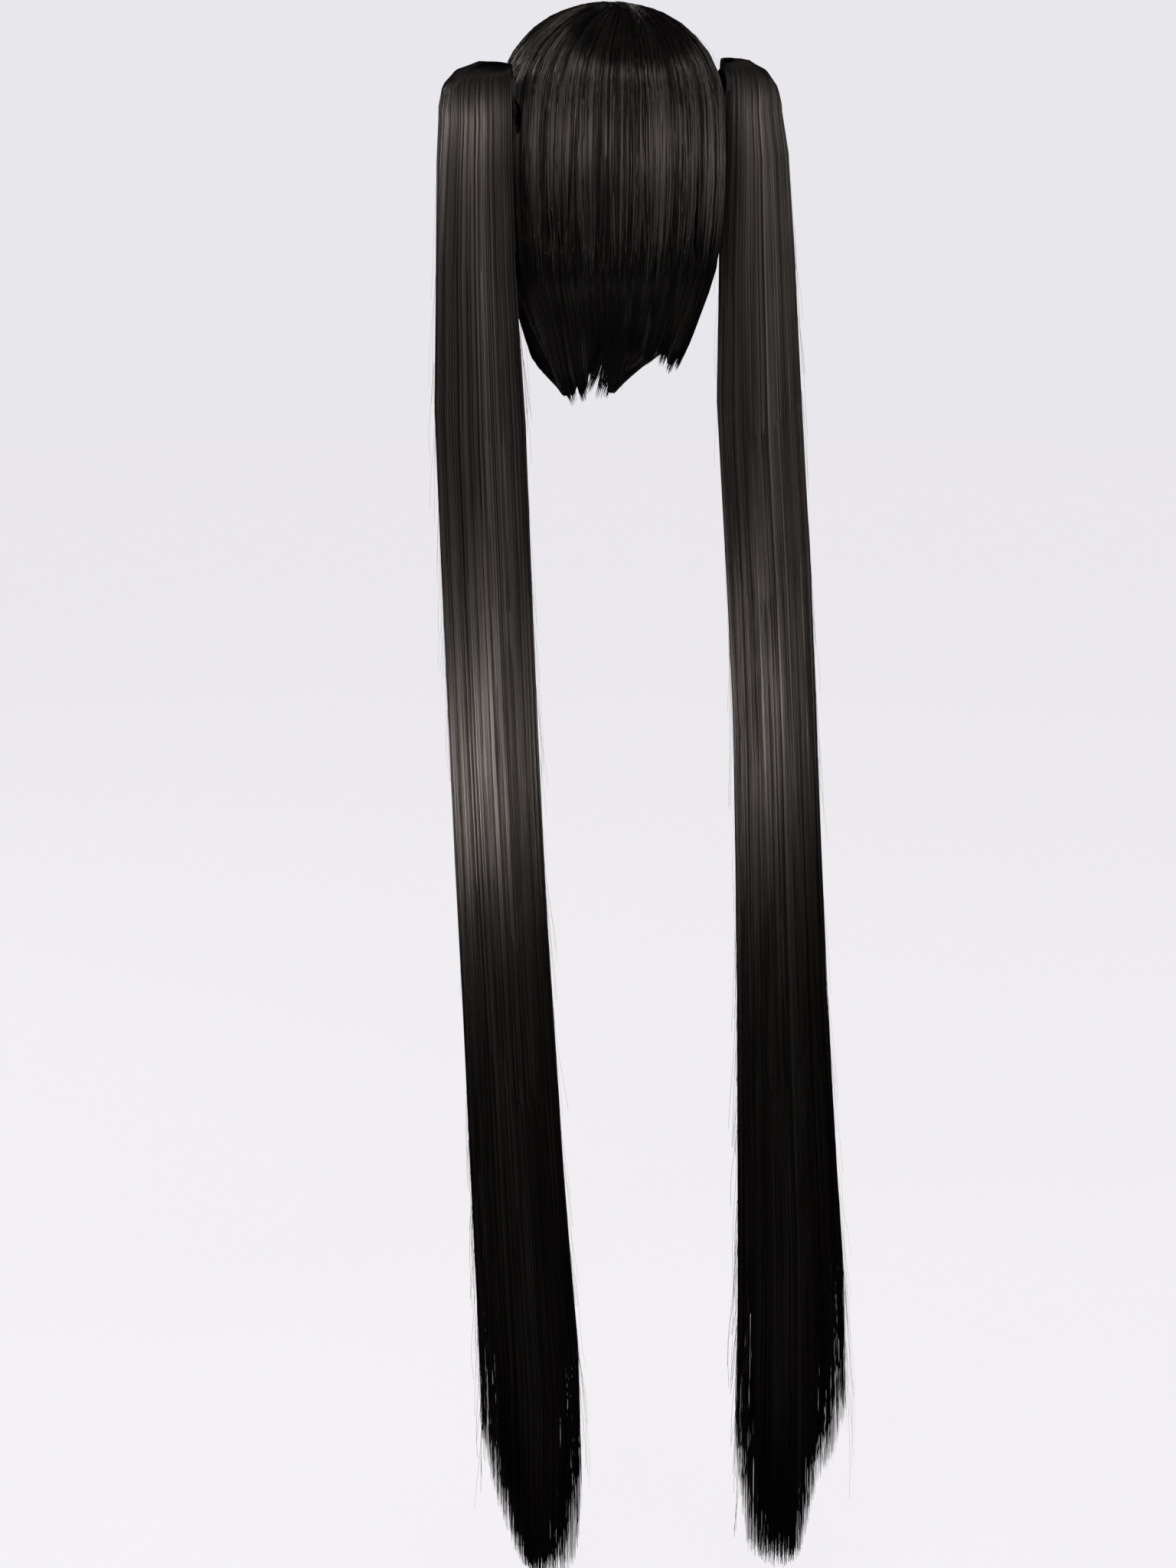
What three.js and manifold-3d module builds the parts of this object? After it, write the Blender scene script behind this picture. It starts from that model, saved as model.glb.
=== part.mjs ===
// Wig of straight synthetic hair with two very long tails, clipped on high at the sides of the head.
// Millimetres. +Z is up, the wearer looks along -Y, and the wearer's left is +X.
// The origin is the top of the cap's inside, where the wig sits on a head.
import * as THREE from "three";
import { mergeVertices } from "three/addons/utils/BufferGeometryUtils.js";
import Module from "manifold-3d";

const wasm = await Module();
wasm.setup();

// Head hollow: half-axes at its widest level, height of the dome, and how square the dome is
const headHalfWidth = 74;
const headHalfDepth = 94;
const domeHeight = 70;
const domeFullness = 2.1;
// Drop from the widest level to the last row of the table of the head form
const formDrop = 230;

// Layers round the head, and the gaps between them: domeSlack clears the flat facets of a dome
const capWall = 1.6;
const layerGap = 0.6;
const domeSlack = 1;
const underHair = 4;
const lowerHair = 9.3;
const crownHair = 10.8;
const ridgeDepth = 1.6;
const hemEdge = 2.4;

// Depths are measured down from the top of the head hollow
const capDepth = 185;

// Crown layer: its hem, the length of its lock ends, and the step of its pocket for the lower layers
const crownLocks = 22;
const crownHemDepth = 160;
const crownTip = 12;
const pocketStep = 6;
// Drop over which a lower layer fills out, once it is clear of the crown layer's lock ends
const tipClearance = 3;
const fillOut = 14;

// Lower back layer, with the angles of its two edges
const backLocks = 14;
const backHemDepth = 272;
const backTip = 11;
const backStart = -8;
const backEnd = 188;

// Fringe
const bangLocks = 9;
const bangHemDepth = 104;
const bangCornerDrop = 8;
const bangTip = 9;
const bangStart = -138;
const bangEnd = -42;

// Long locks in front of the ears
const sideLocks = 3;
const sideLockDepth = 312;
const sideLockFlare = 7;
const sideLockTurn = 9.5;

// Locks of the ducktail at the nape
const ducktailReach = 60;
const ducktailWidth = 15;
const ducktailThick = 7;
// Share of a ducktail lock that lies above the nape edge, and the powers of its sweep and its taper
const ducktailSeat = 0.6;
const ducktailSweep = 1.4;
const ducktailTaper = 1.6;
const ducktailEndSize = 0.15;

// Root of a tail, which pivots over a line beside the head, and the clip in its socket
const pivotDepth = 75;
const pivotClear = 3;
const rootStandoff = 1.5;
const rootBack = 14.5;
const rootWidth = 59;
const clipRadius = 12;
const clipLength = 8;
const clipGap = 0.3;
const padMargin = 3;
const padDepth = 10;

// Tails: how far each hangs below its pivot, its width at the lock ends, and its sideways sway
const tailDepth = 36;
const tailBow = 38;
const tailLocks = 10;
const tailRidge = 0.07;
const tailSquareness = 2.5;
const leftHang = 1218;
const leftWidth = 88;
const leftSway = -34;
const rightHang = 1245;
const rightWidth = 101;
const rightSway = -25;
const tails = [
  { name: "left", side: 1, hang: leftHang, width: leftWidth, sway: leftSway },
  { name: "right", side: -1, hang: rightHang, width: rightWidth, sway: rightSway },
];
const tipHalfWidth = 13;
const tipHalfDepth = 9;
const tipEndSize = 0.45;
const tipTaper = 3;

// Head form below the widest level: shares of the half-width and half-depth
const formTable = [
  { drop: 0, width: 1, depth: 1 },
  { drop: 0.16, width: 1.02, depth: 1.015 },
  { drop: 0.42, width: 0.995, depth: 0.985 },
  { drop: 0.56, width: 0.96, depth: 0.93 },
  { drop: 0.65, width: 0.885, depth: 0.86 },
  { drop: 0.77, width: 0.775, depth: 0.745 },
  { drop: 0.85, width: 0.71, depth: 0.67 },
  { drop: 1, width: 0.6, depth: 0.56 },
];

// Edges from the middle of the front, turn 0, to the middle of the back, turn 1: shares of their depth
const capRim = [
  { turn: 0, drop: 0.3 },
  { turn: 0.24, drop: 0.36 },
  { turn: 0.4, drop: 0.66 },
  { turn: 0.5, drop: 0.6 },
  { turn: 0.66, drop: 0.8 },
  { turn: 1, drop: 1 },
];
const crownHem = [
  { turn: 0, drop: 0.34 },
  { turn: 0.2, drop: 0.37 },
  { turn: 0.29, drop: 0.43 },
  { turn: 0.37, drop: 0.62 },
  { turn: 0.46, drop: 0.8 },
  { turn: 0.65, drop: 0.93 },
  { turn: 1, drop: 1 },
];
// Depth under the crown layer at which the lower layers begin, as a share of the crown layer's hem
const pocketShare = 0.62;

// Nape edge from the left ear, turn 0, to the right ear, turn 1
const napeEdge = [
  { turn: 0, drop: 0.86 },
  { turn: 0.18, drop: 0.97 },
  { turn: 0.3, drop: 1.02 },
  { turn: 0.37, drop: 0.95 },
  { turn: 0.46, drop: 0.945 },
  { turn: 0.6, drop: 0.985 },
  { turn: 0.78, drop: 1 },
  { turn: 0.9, drop: 0.99 },
  { turn: 1, drop: 0.93 },
];

// Ducktail locks: angle of root and tip in degrees, and shares of the reach, width and thickness
const ducktail = [
  { root: 64, tip: 46, reach: 0.94, width: 0.8, thick: 0.8 },
  { root: 68, tip: 55, reach: 1, width: 1, thick: 1 },
  { root: 72, tip: 62, reach: 0.97, width: 0.9, thick: 1 },
  { root: 76, tip: 69, reach: 0.9, width: 0.8, thick: 0.8 },
];

// Side lock down to its tip: degrees of its back and front edges ahead of its root, and its flare
const sideLock = [
  { drop: 0, back: 0, front: 30, flare: 0 },
  { drop: 0.45, back: 0, front: 31, flare: 0.1 },
  { drop: 0.68, back: 1, front: 36, flare: 0.5 },
  { drop: 0.86, back: 11, front: 48, flare: 1 },
  { drop: 0.91, back: 28, front: 55, flare: 1 },
  { drop: 0.965, back: 47, front: 60, flare: 0.95 },
  { drop: 1, back: 58, front: 62, flare: 0.9 },
];

// Uneven lock ends, used over and over along a hem
const ragged = [0.35, 1, 0.6, 0.85, 0.25, 0.95, 0.5, 0.7];

// Hump of a tail from the clip's face, turn 0, to hanging straight, turn 1: share of the root's width
const rootFan = [
  { turn: 0, reach: 0.675 },
  { turn: 0.2, reach: 0.735 },
  { turn: 0.4, reach: 0.82 },
  { turn: 0.6, reach: 0.94 },
  { turn: 0.8, reach: 0.985 },
];

// Hanging tails: shares of the bow, of the section's depth, and of each tail's sway and growth in width
const tailTable = [
  { drop: 0, bow: 0, depth: 1, leftSway: 0, leftWidth: 0, rightSway: 0, rightWidth: 0 },
  { drop: 0.03, bow: 0, depth: 0.99, leftSway: 0, leftWidth: 0.05, rightSway: 0, rightWidth: 0.03 },
  { drop: 0.07, bow: 0, depth: 0.97, leftSway: 0.01, leftWidth: 0.1, rightSway: 0, rightWidth: 0.07 },
  { drop: 0.1, bow: 0, depth: 0.95, leftSway: 0.05, leftWidth: 0.21, rightSway: 0, rightWidth: 0.14 },
  { drop: 0.155, bow: 0.01, depth: 0.93, leftSway: 0.1, leftWidth: 0.47, rightSway: 0.02, rightWidth: 0.28 },
  { drop: 0.23, bow: 0.06, depth: 0.92, leftSway: 0.16, leftWidth: 0.53, rightSway: 0.22, rightWidth: 0.33 },
  { drop: 0.35, bow: 0.27, depth: 0.92, leftSway: 0.25, leftWidth: 0.51, rightSway: 0.48, rightWidth: 0.3 },
  { drop: 0.47, bow: 0.6, depth: 0.92, leftSway: 0.31, leftWidth: 0.51, rightSway: 0.54, rightWidth: 0.35 },
  { drop: 0.6, bow: 0.92, depth: 0.93, leftSway: 0.44, leftWidth: 0.58, rightSway: 0.59, rightWidth: 0.48 },
  { drop: 0.67, bow: 1, depth: 0.94, leftSway: 0.53, leftWidth: 0.64, rightSway: 0.7, rightWidth: 0.61 },
  { drop: 0.74, bow: 1, depth: 0.95, leftSway: 0.67, leftWidth: 0.74, rightSway: 0.85, rightWidth: 0.76 },
  { drop: 0.8, bow: 1, depth: 0.96, leftSway: 0.81, leftWidth: 0.83, rightSway: 0.97, rightWidth: 0.88 },
  { drop: 0.87, bow: 1, depth: 0.97, leftSway: 0.96, leftWidth: 0.97, rightSway: 1, rightWidth: 0.99 },
];
// Share of the hang where the lock ends part, and where the tapering body ends inside them
const tipStart = 0.8;
const bodyEnd = 0.885;
const bodyEndSize = 0.5;

// Share of the hang where a lock ends, by its place from the inner edge, -1, to the outer edge, 1
const tipTable = [
  { across: -1, left: 0.97, right: 0.95 },
  { across: -0.75, left: 0.985, right: 0.985 },
  { across: -0.3, left: 1, right: 1 },
  { across: 0.1, left: 0.99, right: 0.985 },
  { across: 0.45, left: 0.965, right: 0.945 },
  { across: 0.8, left: 0.935, right: 0.915 },
  { across: 1, left: 0.905, right: 0.895 },
];
const tipUneven = 0.008;
// Share of a lock end's half-size by which it lies inside the outline of the tail
const tipInset = 0.85;

// A lock is three columns of points wide: a valley and the two shoulders of its flat ridge
const lockColumns = 3;
// Facets: rows and columns of the layers, and sides of the round pieces and the lock ends
const capColumns = 32;
const capRows = 8;
const domeRows = 6;
const hiddenRows = 3;
const ducktailRows = 5;
const tipRows = 3;
const lockSides = 6;
// Rows of the lower layers below the crown layer, as shares of the drop to their hem
const backRows = [0, 0.35, 0.7, 0.88];
const bangRows = [0];
const sideLockRows = [0, 0.2, 0.45, 0.62, 0.76, 0.88, 0.95];
const roundSides = 16;
const degrees = Math.PI / 180;

// Growth of each surface outside the head hollow
const underInside = capWall + layerGap;
const underOutside = underInside + underHair;
const pocketInside = underOutside + layerGap + domeSlack;
const crownInside = underInside + domeSlack;
const crownOutside = underInside + crownHair;
const lowerOutside = underInside + lowerHair;

// Place of a tail's pivot and of the middle of its root
const rootFaceX = headHalfWidth + crownOutside + rootStandoff;
const rootMiddle = pivotClear + (rootWidth * rootFan[0].reach) / 2;

// Value of a column at a place in a table, smooth through the rows
function column(table, place, value, at) {
  const last = table.length - 1;
  if (at <= table[0][place]) return table[0][value];
  if (at >= table[last][place]) return table[last][value];
  const next = table.findIndex((row) => row[place] > at);
  const from = table[next - 1];
  const to = table[next];
  const span = to[place] - from[place];
  const pull = (k) => {
    const before = table[Math.max(k - 1, 0)];
    const after = table[Math.min(k + 1, last)];
    return (span * (after[value] - before[value])) / (after[place] - before[place]);
  };
  const t = (at - from[place]) / span;
  const rise = to[value] - from[value];
  const bend = pull(next - 1) + pull(next) - 2 * rise;
  const swell = 3 * rise - 2 * pull(next - 1) - pull(next);
  return from[value] + t * (pull(next - 1) + t * (swell + t * bend));
}

// Turn from the middle of the front, 0, to the middle of the back, 1, of an angle
function fromFront(angle) {
  const turned = THREE.MathUtils.euclideanModulo(angle + 90, 360);
  return Math.min(turned, 360 - turned) / 180;
}

// Station of a depth: 0 at the top of the head hollow, 1 at its widest level, more below
function stationAt(depth) {
  if (depth >= domeHeight) return 1 + (depth - domeHeight) / formDrop;
  return Math.acos((1 - depth / domeHeight) ** (domeFullness / 2)) / (Math.PI / 2);
}

// Point of the head form grown by a distance, at an angle from the wearer's left towards the back
function formPoint(angle, station, grow) {
  const drop = Math.max(station - 1, 0);
  const arc = Math.min(station, 1) * (Math.PI / 2);
  const reach = Math.sin(arc) ** (2 / domeFullness);
  const rise = station < 1 ? (domeHeight + grow) * Math.cos(arc) ** (2 / domeFullness) : 0;
  return new THREE.Vector3(
    (headHalfWidth + grow) * column(formTable, "drop", "width", drop) * reach * Math.cos(angle * degrees),
    (headHalfDepth + grow) * column(formTable, "drop", "depth", drop) * reach * Math.sin(angle * degrees),
    rise - domeHeight - drop * formDrop,
  );
}

// Closed solid of points and triangles, with shared points merged and flat triangles left out
function solidOf(points, triangles) {
  const geometry = new THREE.BufferGeometry().setFromPoints(points);
  geometry.setIndex(triangles.flat());
  const merged = mergeVertices(geometry, 1e-4);
  const corners = Array.from(merged.index.array);
  const kept = [];
  for (let i = 0; i < corners.length; i += 3) {
    const [a, b, c] = corners.slice(i, i + 3);
    if (a !== b && b !== c && c !== a) kept.push(a, b, c);
  }
  const vertProperties = merged.attributes.position.array;
  const mesh = new wasm.Mesh({ numProp: 3, vertProperties, triVerts: new Uint32Array(kept) });
  return new wasm.Manifold(mesh);
}

// Wall between an outer and an inner grid, each a list of rows from top to hem
function wallSolid(outer, inner, around) {
  const rows = outer.length;
  const columns = outer[0].length;
  const points = [...outer.flat(), ...inner.flat()];
  const out = (r, c) => r * columns + (c % columns);
  const into = (r, c) => rows * columns + out(r, c);
  const triangles = [];
  const quad = (a, b, c, d) => triangles.push([a, b, c], [a, c, d]);
  const hem = rows - 1;
  const end = columns - 1;
  for (let c = 0; c < (around ? columns : end); c++) {
    for (let r = 0; r < hem; r++) {
      quad(out(r, c), out(r + 1, c), out(r + 1, c + 1), out(r, c + 1));
      quad(into(r, c), into(r, c + 1), into(r + 1, c + 1), into(r + 1, c));
    }
    quad(out(hem, c), into(hem, c), into(hem, c + 1), out(hem, c + 1));
    if (!around) quad(out(0, c), out(0, c + 1), into(0, c + 1), into(0, c));
  }
  for (let r = 0; r < (around ? 0 : hem); r++) {
    quad(out(r, 0), into(r, 0), into(r + 1, 0), out(r + 1, 0));
    quad(out(r, end), out(r + 1, end), into(r + 1, end), into(r, end));
  }
  return solidOf(points, triangles);
}

// Layer round the head from a function that gives a column's rows, each with angle, station and growths
function layerSolid(columns, around, rowsAt) {
  const outer = [];
  const inner = [];
  for (let c = 0; c < columns; c++) {
    rowsAt(c).forEach((row, r) => {
      outer[r] ??= [];
      inner[r] ??= [];
      outer[r].push(formPoint(row.angle, row.station, row.outer));
      inner[r].push(formPoint(row.angle, row.station, row.inner));
    });
  }
  return wallSolid(outer, inner, around);
}

// Loft through rings that run counter-clockwise seen from where the loft starts
function loftSolid(rings) {
  const count = rings[0].length;
  const middle = (ring) => {
    const sum = ring.reduce((total, point) => total.add(point), new THREE.Vector3());
    return sum.divideScalar(count);
  };
  const points = [...rings.flat(), middle(rings[0]), middle(rings.at(-1))];
  const top = points.length - 2;
  const foot = points.length - 1;
  const last = (rings.length - 1) * count;
  const triangles = [];
  for (let k = 0; k < count; k++) {
    const next = (k + 1) % count;
    for (let start = 0; start < last; start += count) {
      triangles.push([start + k, start + count + k, start + count + next]);
      triangles.push([start + k, start + count + next, start + next]);
    }
    triangles.push([top, k, next], [foot, last + next, last + k]);
  }
  return solidOf(points, triangles);
}

// Ring of points about a centre with two half-axes, one point for each angle
function ring(centre, along, across, angles, squareness = 2, scaleAt = () => 1) {
  return angles.map((angle, k) => {
    const place = ovalPlace(angle, squareness);
    return centre
      .clone()
      .addScaledVector(along, scaleAt(k) * place.along)
      .addScaledVector(across, scaleAt(k) * place.across);
  });
}

// Place on an oval at an angle, as shares of its two half-axes
function ovalPlace(angle, squareness) {
  const share = (value) => Math.sign(value) * Math.abs(value) ** (2 / squareness);
  return { along: share(Math.cos(angle)), across: share(Math.sin(angle)) };
}

// Angles that space points evenly round an oval with two half-axes
function evenAngles(count, halfWidth, halfDepth) {
  const steps = count * 40;
  const angleOf = (k) => (2 * Math.PI * k) / steps;
  const lengths = [0];
  for (let k = 1; k <= steps; k++) {
    const across = halfWidth * (Math.cos(angleOf(k)) - Math.cos(angleOf(k - 1)));
    const back = halfDepth * (Math.sin(angleOf(k)) - Math.sin(angleOf(k - 1)));
    lengths.push(lengths[k - 1] + Math.hypot(across, back));
  }
  return Array.from({ length: count }, (_, k) => {
    const wanted = (lengths[steps] * k) / count;
    return angleOf(lengths.findIndex((length) => length >= wanted));
  });
}

// Whether a column is a valley, and how far its lock's end reaches down as a share of the tip length
function lockAt(index) {
  const valley = index % lockColumns === 0;
  const lock = Math.floor(index / lockColumns);
  return { valley, reach: valley ? 0 : ragged[lock % ragged.length] };
}

const crownHemAt = (angle) => crownHemDepth * column(crownHem, "turn", "drop", fromFront(angle));
const pocketAt = (angle) => pocketShare * crownHemAt(angle);
const shares = (count) => Array.from({ length: count + 1 }, (_, k) => k / count);

function makeCap() {
  return layerSolid(capColumns, true, (c) => {
    const angle = (360 * c) / capColumns;
    const rim = stationAt(capDepth * column(capRim, "turn", "drop", fromFront(angle)));
    return shares(capRows).map((share) => ({ angle, station: rim * share, outer: capWall, inner: 0 }));
  });
}

// Flat pad at the side of the crown layer, on which a tail's clip is seated
function makePad(side) {
  const face = rootFaceX - clipGap;
  const radius = clipRadius + padMargin;
  const ringAt = (x) => {
    const centre = new THREE.Vector3(side * x, rootBack, rootMiddle - pivotDepth);
    const up = new THREE.Vector3(0, 0, radius);
    const back = new THREE.Vector3(0, side * radius, 0);
    return ring(centre, up, back, evenAngles(roundSides, 1, 1));
  };
  return loftSolid([ringAt(face - padDepth), ringAt(face)]);
}

function makeCrown() {
  const columns = crownLocks * lockColumns;
  const shell = layerSolid(columns, true, (c) => {
    const angle = (360 * c) / columns;
    const { valley, reach } = lockAt(c);
    const surface = (share) => crownOutside - (valley ? ridgeDepth * share : 0);
    const pocket = stationAt(pocketAt(angle));
    const above = stationAt(pocketAt(angle) - pocketStep);
    const edge = stationAt(crownHemAt(angle) + crownTip * reach);
    const shoulder = edge - crownTip / formDrop;
    const dome = shares(domeRows).map((share) => {
      return { station: above * share, outer: surface(share ** 2), inner: crownInside };
    });
    const skirt = [
      { station: pocket, outer: surface(1), inner: pocketInside },
      { station: (pocket + shoulder) / 2, outer: surface(1), inner: pocketInside },
      { station: shoulder, outer: surface(1), inner: pocketInside },
      { station: edge, outer: pocketInside + hemEdge, inner: pocketInside },
    ];
    return [...dome, ...skirt].map((row) => ({ ...row, angle }));
  });
  return shell.add(makePad(1)).add(makePad(-1));
}

// Rows of a lower layer, which begins under the crown layer and fills out below the crown's lock ends
function lowerRows(angle, valley, hem, spread) {
  const top = pocketAt(angle) + layerGap;
  const clear = crownHemAt(angle) + crownTip + tipClearance;
  const full = lowerOutside - (valley ? ridgeDepth : 0);
  const hidden = shares(hiddenRows).map((share) => {
    return { depth: top + (clear - top) * share, outer: underOutside };
  });
  const shown = spread.map((share) => {
    return { depth: clear + fillOut + (hem - clear - fillOut) * share, outer: full };
  });
  const rows = [...hidden, ...shown, { depth: hem, outer: underInside + hemEdge }];
  return rows.map((row) => ({ ...row, angle, station: stationAt(row.depth), inner: underInside }));
}

// One lock of the ducktail, lying in the lower hair at its root and standing free at its tip
function makeDucktailLock(lock) {
  const rootDepth = backHemDepth - ducktailSeat * ducktailReach;
  const rings = shares(ducktailRows).map((share) => {
    const depth = rootDepth + ducktailReach * lock.reach * share;
    const angle = THREE.MathUtils.lerp(lock.root, lock.tip, share ** ducktailSweep);
    const outward = new THREE.Vector3(Math.cos(angle * degrees), Math.sin(angle * degrees), 0);
    const sideways = new THREE.Vector3(-outward.y, outward.x, 0);
    const taper = 1 - (1 - ducktailEndSize) * share ** ducktailTaper;
    return ring(
      formPoint(angle, stationAt(depth), underInside + lowerHair / 2),
      outward.multiplyScalar((ducktailThick / 2) * lock.thick * taper),
      sideways.multiplyScalar((ducktailWidth / 2) * lock.width * taper),
      evenAngles(lockSides, 1, 1),
    );
  });
  return loftSolid(rings);
}

function makeBackHair() {
  const last = backLocks * lockColumns;
  const shell = layerSolid(last + 1, false, (c) => {
    const { valley, reach } = lockAt(c);
    const angle = THREE.MathUtils.lerp(backStart, backEnd, c / last);
    const hem = backHemDepth * column(napeEdge, "turn", "drop", c / last);
    return lowerRows(angle, valley, hem + backTip * (reach - 0.5), backRows);
  });
  return ducktail.reduce((solid, lock) => solid.add(makeDucktailLock(lock)), shell);
}

function makeBangs() {
  const last = bangLocks * lockColumns;
  return layerSolid(last + 1, false, (c) => {
    const { valley, reach } = lockAt(c);
    const angle = THREE.MathUtils.lerp(bangStart, bangEnd, c / last);
    const corner = bangCornerDrop * (2 * (c / last) - 1) ** 2;
    return lowerRows(angle, valley, bangHemDepth + corner + bangTip * reach, bangRows);
  });
}

// Lock in front of an ear: it follows the head, then flares, narrows and sweeps forwards to its tip
function makeSideLock(side) {
  const last = sideLocks * lockColumns;
  return layerSolid(last + 1, false, (c) => {
    const across = side > 0 ? 1 - c / last : c / last;
    const angleAt = (drop) => {
      const back = column(sideLock, "drop", "back", drop);
      const front = column(sideLock, "drop", "front", drop);
      const ahead = sideLockTurn + THREE.MathUtils.lerp(back, front, across);
      return side > 0 ? -ahead : ahead - 180;
    };
    const { valley } = lockAt(c);
    const rows = lowerRows(angleAt(0), valley, sideLockDepth, sideLockRows);
    return rows.map((row) => {
      const drop = row.depth / sideLockDepth;
      const flare = sideLockFlare * column(sideLock, "drop", "flare", drop);
      return { ...row, angle: angleAt(drop), outer: row.outer + flare, inner: row.inner + flare };
    });
  });
}

// Centre and half-axes of a hanging tail at a drop, from its pivot
function tailFrame(tail, drop) {
  const value = (name) => column(tailTable, "drop", name, drop);
  const width = rootWidth + (tail.width - rootWidth) * value(tail.name + "Width");
  const x = tail.side * (pivotClear + rootWidth / 2) + tail.sway * value(tail.name + "Sway");
  return {
    centre: new THREE.Vector3(x, tailBow * value("bow"), -tail.hang * drop),
    halfWidth: width / 2,
    halfDepth: (tailDepth / 2) * value("depth"),
  };
}

// Rings of a tail's body: over the hump, down the hang, and tapering inside the lock ends
function tailRings(tail, angles) {
  const ridges = (depth) => (k) => (k % lockColumns === 0 ? 1 - depth : 1);
  const back = new THREE.Vector3(0, tail.side, 0);
  const hump = rootFan.map(({ turn, reach }) => {
    const lean = (turn * Math.PI) / 2;
    const outward = new THREE.Vector3(tail.side * Math.sin(lean), 0, Math.cos(lean));
    const half = (rootWidth * reach) / 2;
    const centre = outward.clone().multiplyScalar(pivotClear + half);
    const across = back.clone().multiplyScalar(tailDepth / 2);
    const along = outward.multiplyScalar(half);
    return ring(centre, along, across, angles, tailSquareness, ridges(tailRidge * turn));
  });
  const hangRing = (drop, size) => {
    const frame = tailFrame(tail, drop);
    const along = new THREE.Vector3(tail.side * frame.halfWidth * size, 0, 0);
    const across = back.clone().multiplyScalar(frame.halfDepth * size);
    return ring(frame.centre, along, across, angles, tailSquareness, ridges(tailRidge));
  };
  const hang = tailTable.filter((row) => row.drop <= tipStart).map((row) => hangRing(row.drop, 1));
  return [...hump, ...hang, hangRing(bodyEnd, bodyEndSize)];
}

// One lock end of a tail, from inside the body to its own uneven end
function makeTip(tail, place, uneven) {
  const end = column(tipTable, "across", tail.name, place.along) - tipUneven * uneven;
  const rings = shares(tipRows).map((share) => {
    const frame = tailFrame(tail, THREE.MathUtils.lerp(tipStart, end, share));
    const size = 1 - (1 - tipEndSize) * share ** tipTaper;
    const x = tail.side * place.along * (frame.halfWidth - tipInset * tipHalfWidth);
    const y = tail.side * place.across * (frame.halfDepth - tipInset * tipHalfDepth);
    const centre = frame.centre.add(new THREE.Vector3(x, y, 0));
    const along = new THREE.Vector3(tail.side * tipHalfWidth * size, 0, 0);
    const across = new THREE.Vector3(0, tail.side * tipHalfDepth * size, 0);
    return ring(centre, along, across, evenAngles(lockSides, 1, 1));
  });
  return loftSolid(rings);
}

// Round plug along X from the root face, for a clip and for the socket round it
function makePlug(side, radius, start, end) {
  const ringAt = (x) => {
    const centre = new THREE.Vector3(side * x, 0, rootMiddle);
    const up = new THREE.Vector3(0, 0, radius);
    return ring(centre, up, new THREE.Vector3(0, side * radius, 0), evenAngles(roundSides, 1, 1));
  };
  return loftSolid([ringAt(start), ringAt(end)]);
}

function makeTail(tail) {
  const angles = evenAngles(tailLocks * lockColumns, rootWidth / 2, tailDepth / 2);
  let fused = loftSolid(tailRings(tail, angles));
  for (let lock = 0; lock < tailLocks; lock++) {
    const shoulder = lock * lockColumns + 1;
    const middle = (angles[shoulder] + angles[shoulder + 1]) / 2;
    const place = ovalPlace(middle, tailSquareness);
    fused = fused.add(makeTip(tail, place, ragged[lock % ragged.length]));
  }
  return fused.subtract(makePlug(tail.side, clipRadius + clipGap, -clipGap, clipLength + clipGap));
}

// Materials
const hair = new THREE.MeshStandardMaterial({ color: 0x15120f, roughness: 0.42, metalness: 0 });
const net = new THREE.MeshStandardMaterial({ color: 0x1c1a19, roughness: 0.9, metalness: 0 });
const plastic = new THREE.MeshStandardMaterial({ color: 0x0d0d0d, roughness: 0.5, metalness: 0 });

function meshOf(name, solid, material) {
  const { vertProperties, triVerts } = solid.getMesh();
  const geometry = new THREE.BufferGeometry();
  geometry.setAttribute("position", new THREE.BufferAttribute(vertProperties, 3));
  geometry.setIndex(new THREE.BufferAttribute(triVerts, 1));
  geometry.computeVertexNormals();
  const mesh = new THREE.Mesh(geometry, material);
  mesh.name = name;
  return mesh;
}

const wig = new THREE.Group();
wig.add(
  meshOf("wig_cap", makeCap(), net),
  meshOf("crown_hair", makeCrown(), hair),
  meshOf("back_hair", makeBackHair(), hair),
  meshOf("bangs", makeBangs(), hair),
  meshOf("side_lock_left", makeSideLock(1), hair),
  meshOf("side_lock_right", makeSideLock(-1), hair),
);
for (const tail of tails) {
  const seat = new THREE.Group();
  seat.position.set(tail.side * rootFaceX, rootBack, -pivotDepth);
  seat.add(
    meshOf("tail_clip_" + tail.name, makePlug(tail.side, clipRadius, 0, clipLength), plastic),
    meshOf("pigtail_" + tail.name, makeTail(tail), hair),
  );
  wig.add(seat);
}

export default wig;
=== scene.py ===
"""Looks of a wig of straight black hair with two very long tails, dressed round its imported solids.

The forms restate the sizes of the solids in metres. The wearer looks along -Y, the wearer's left
is +X, and an angle round the head runs from the wearer's left, 0, over the back, 90.
"""
import logging
import math
from dataclasses import dataclass
from enum import Enum
from typing import Callable

import bmesh
import bpy
import numpy as np
from mathutils import Matrix, Quaternion, Vector


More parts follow.
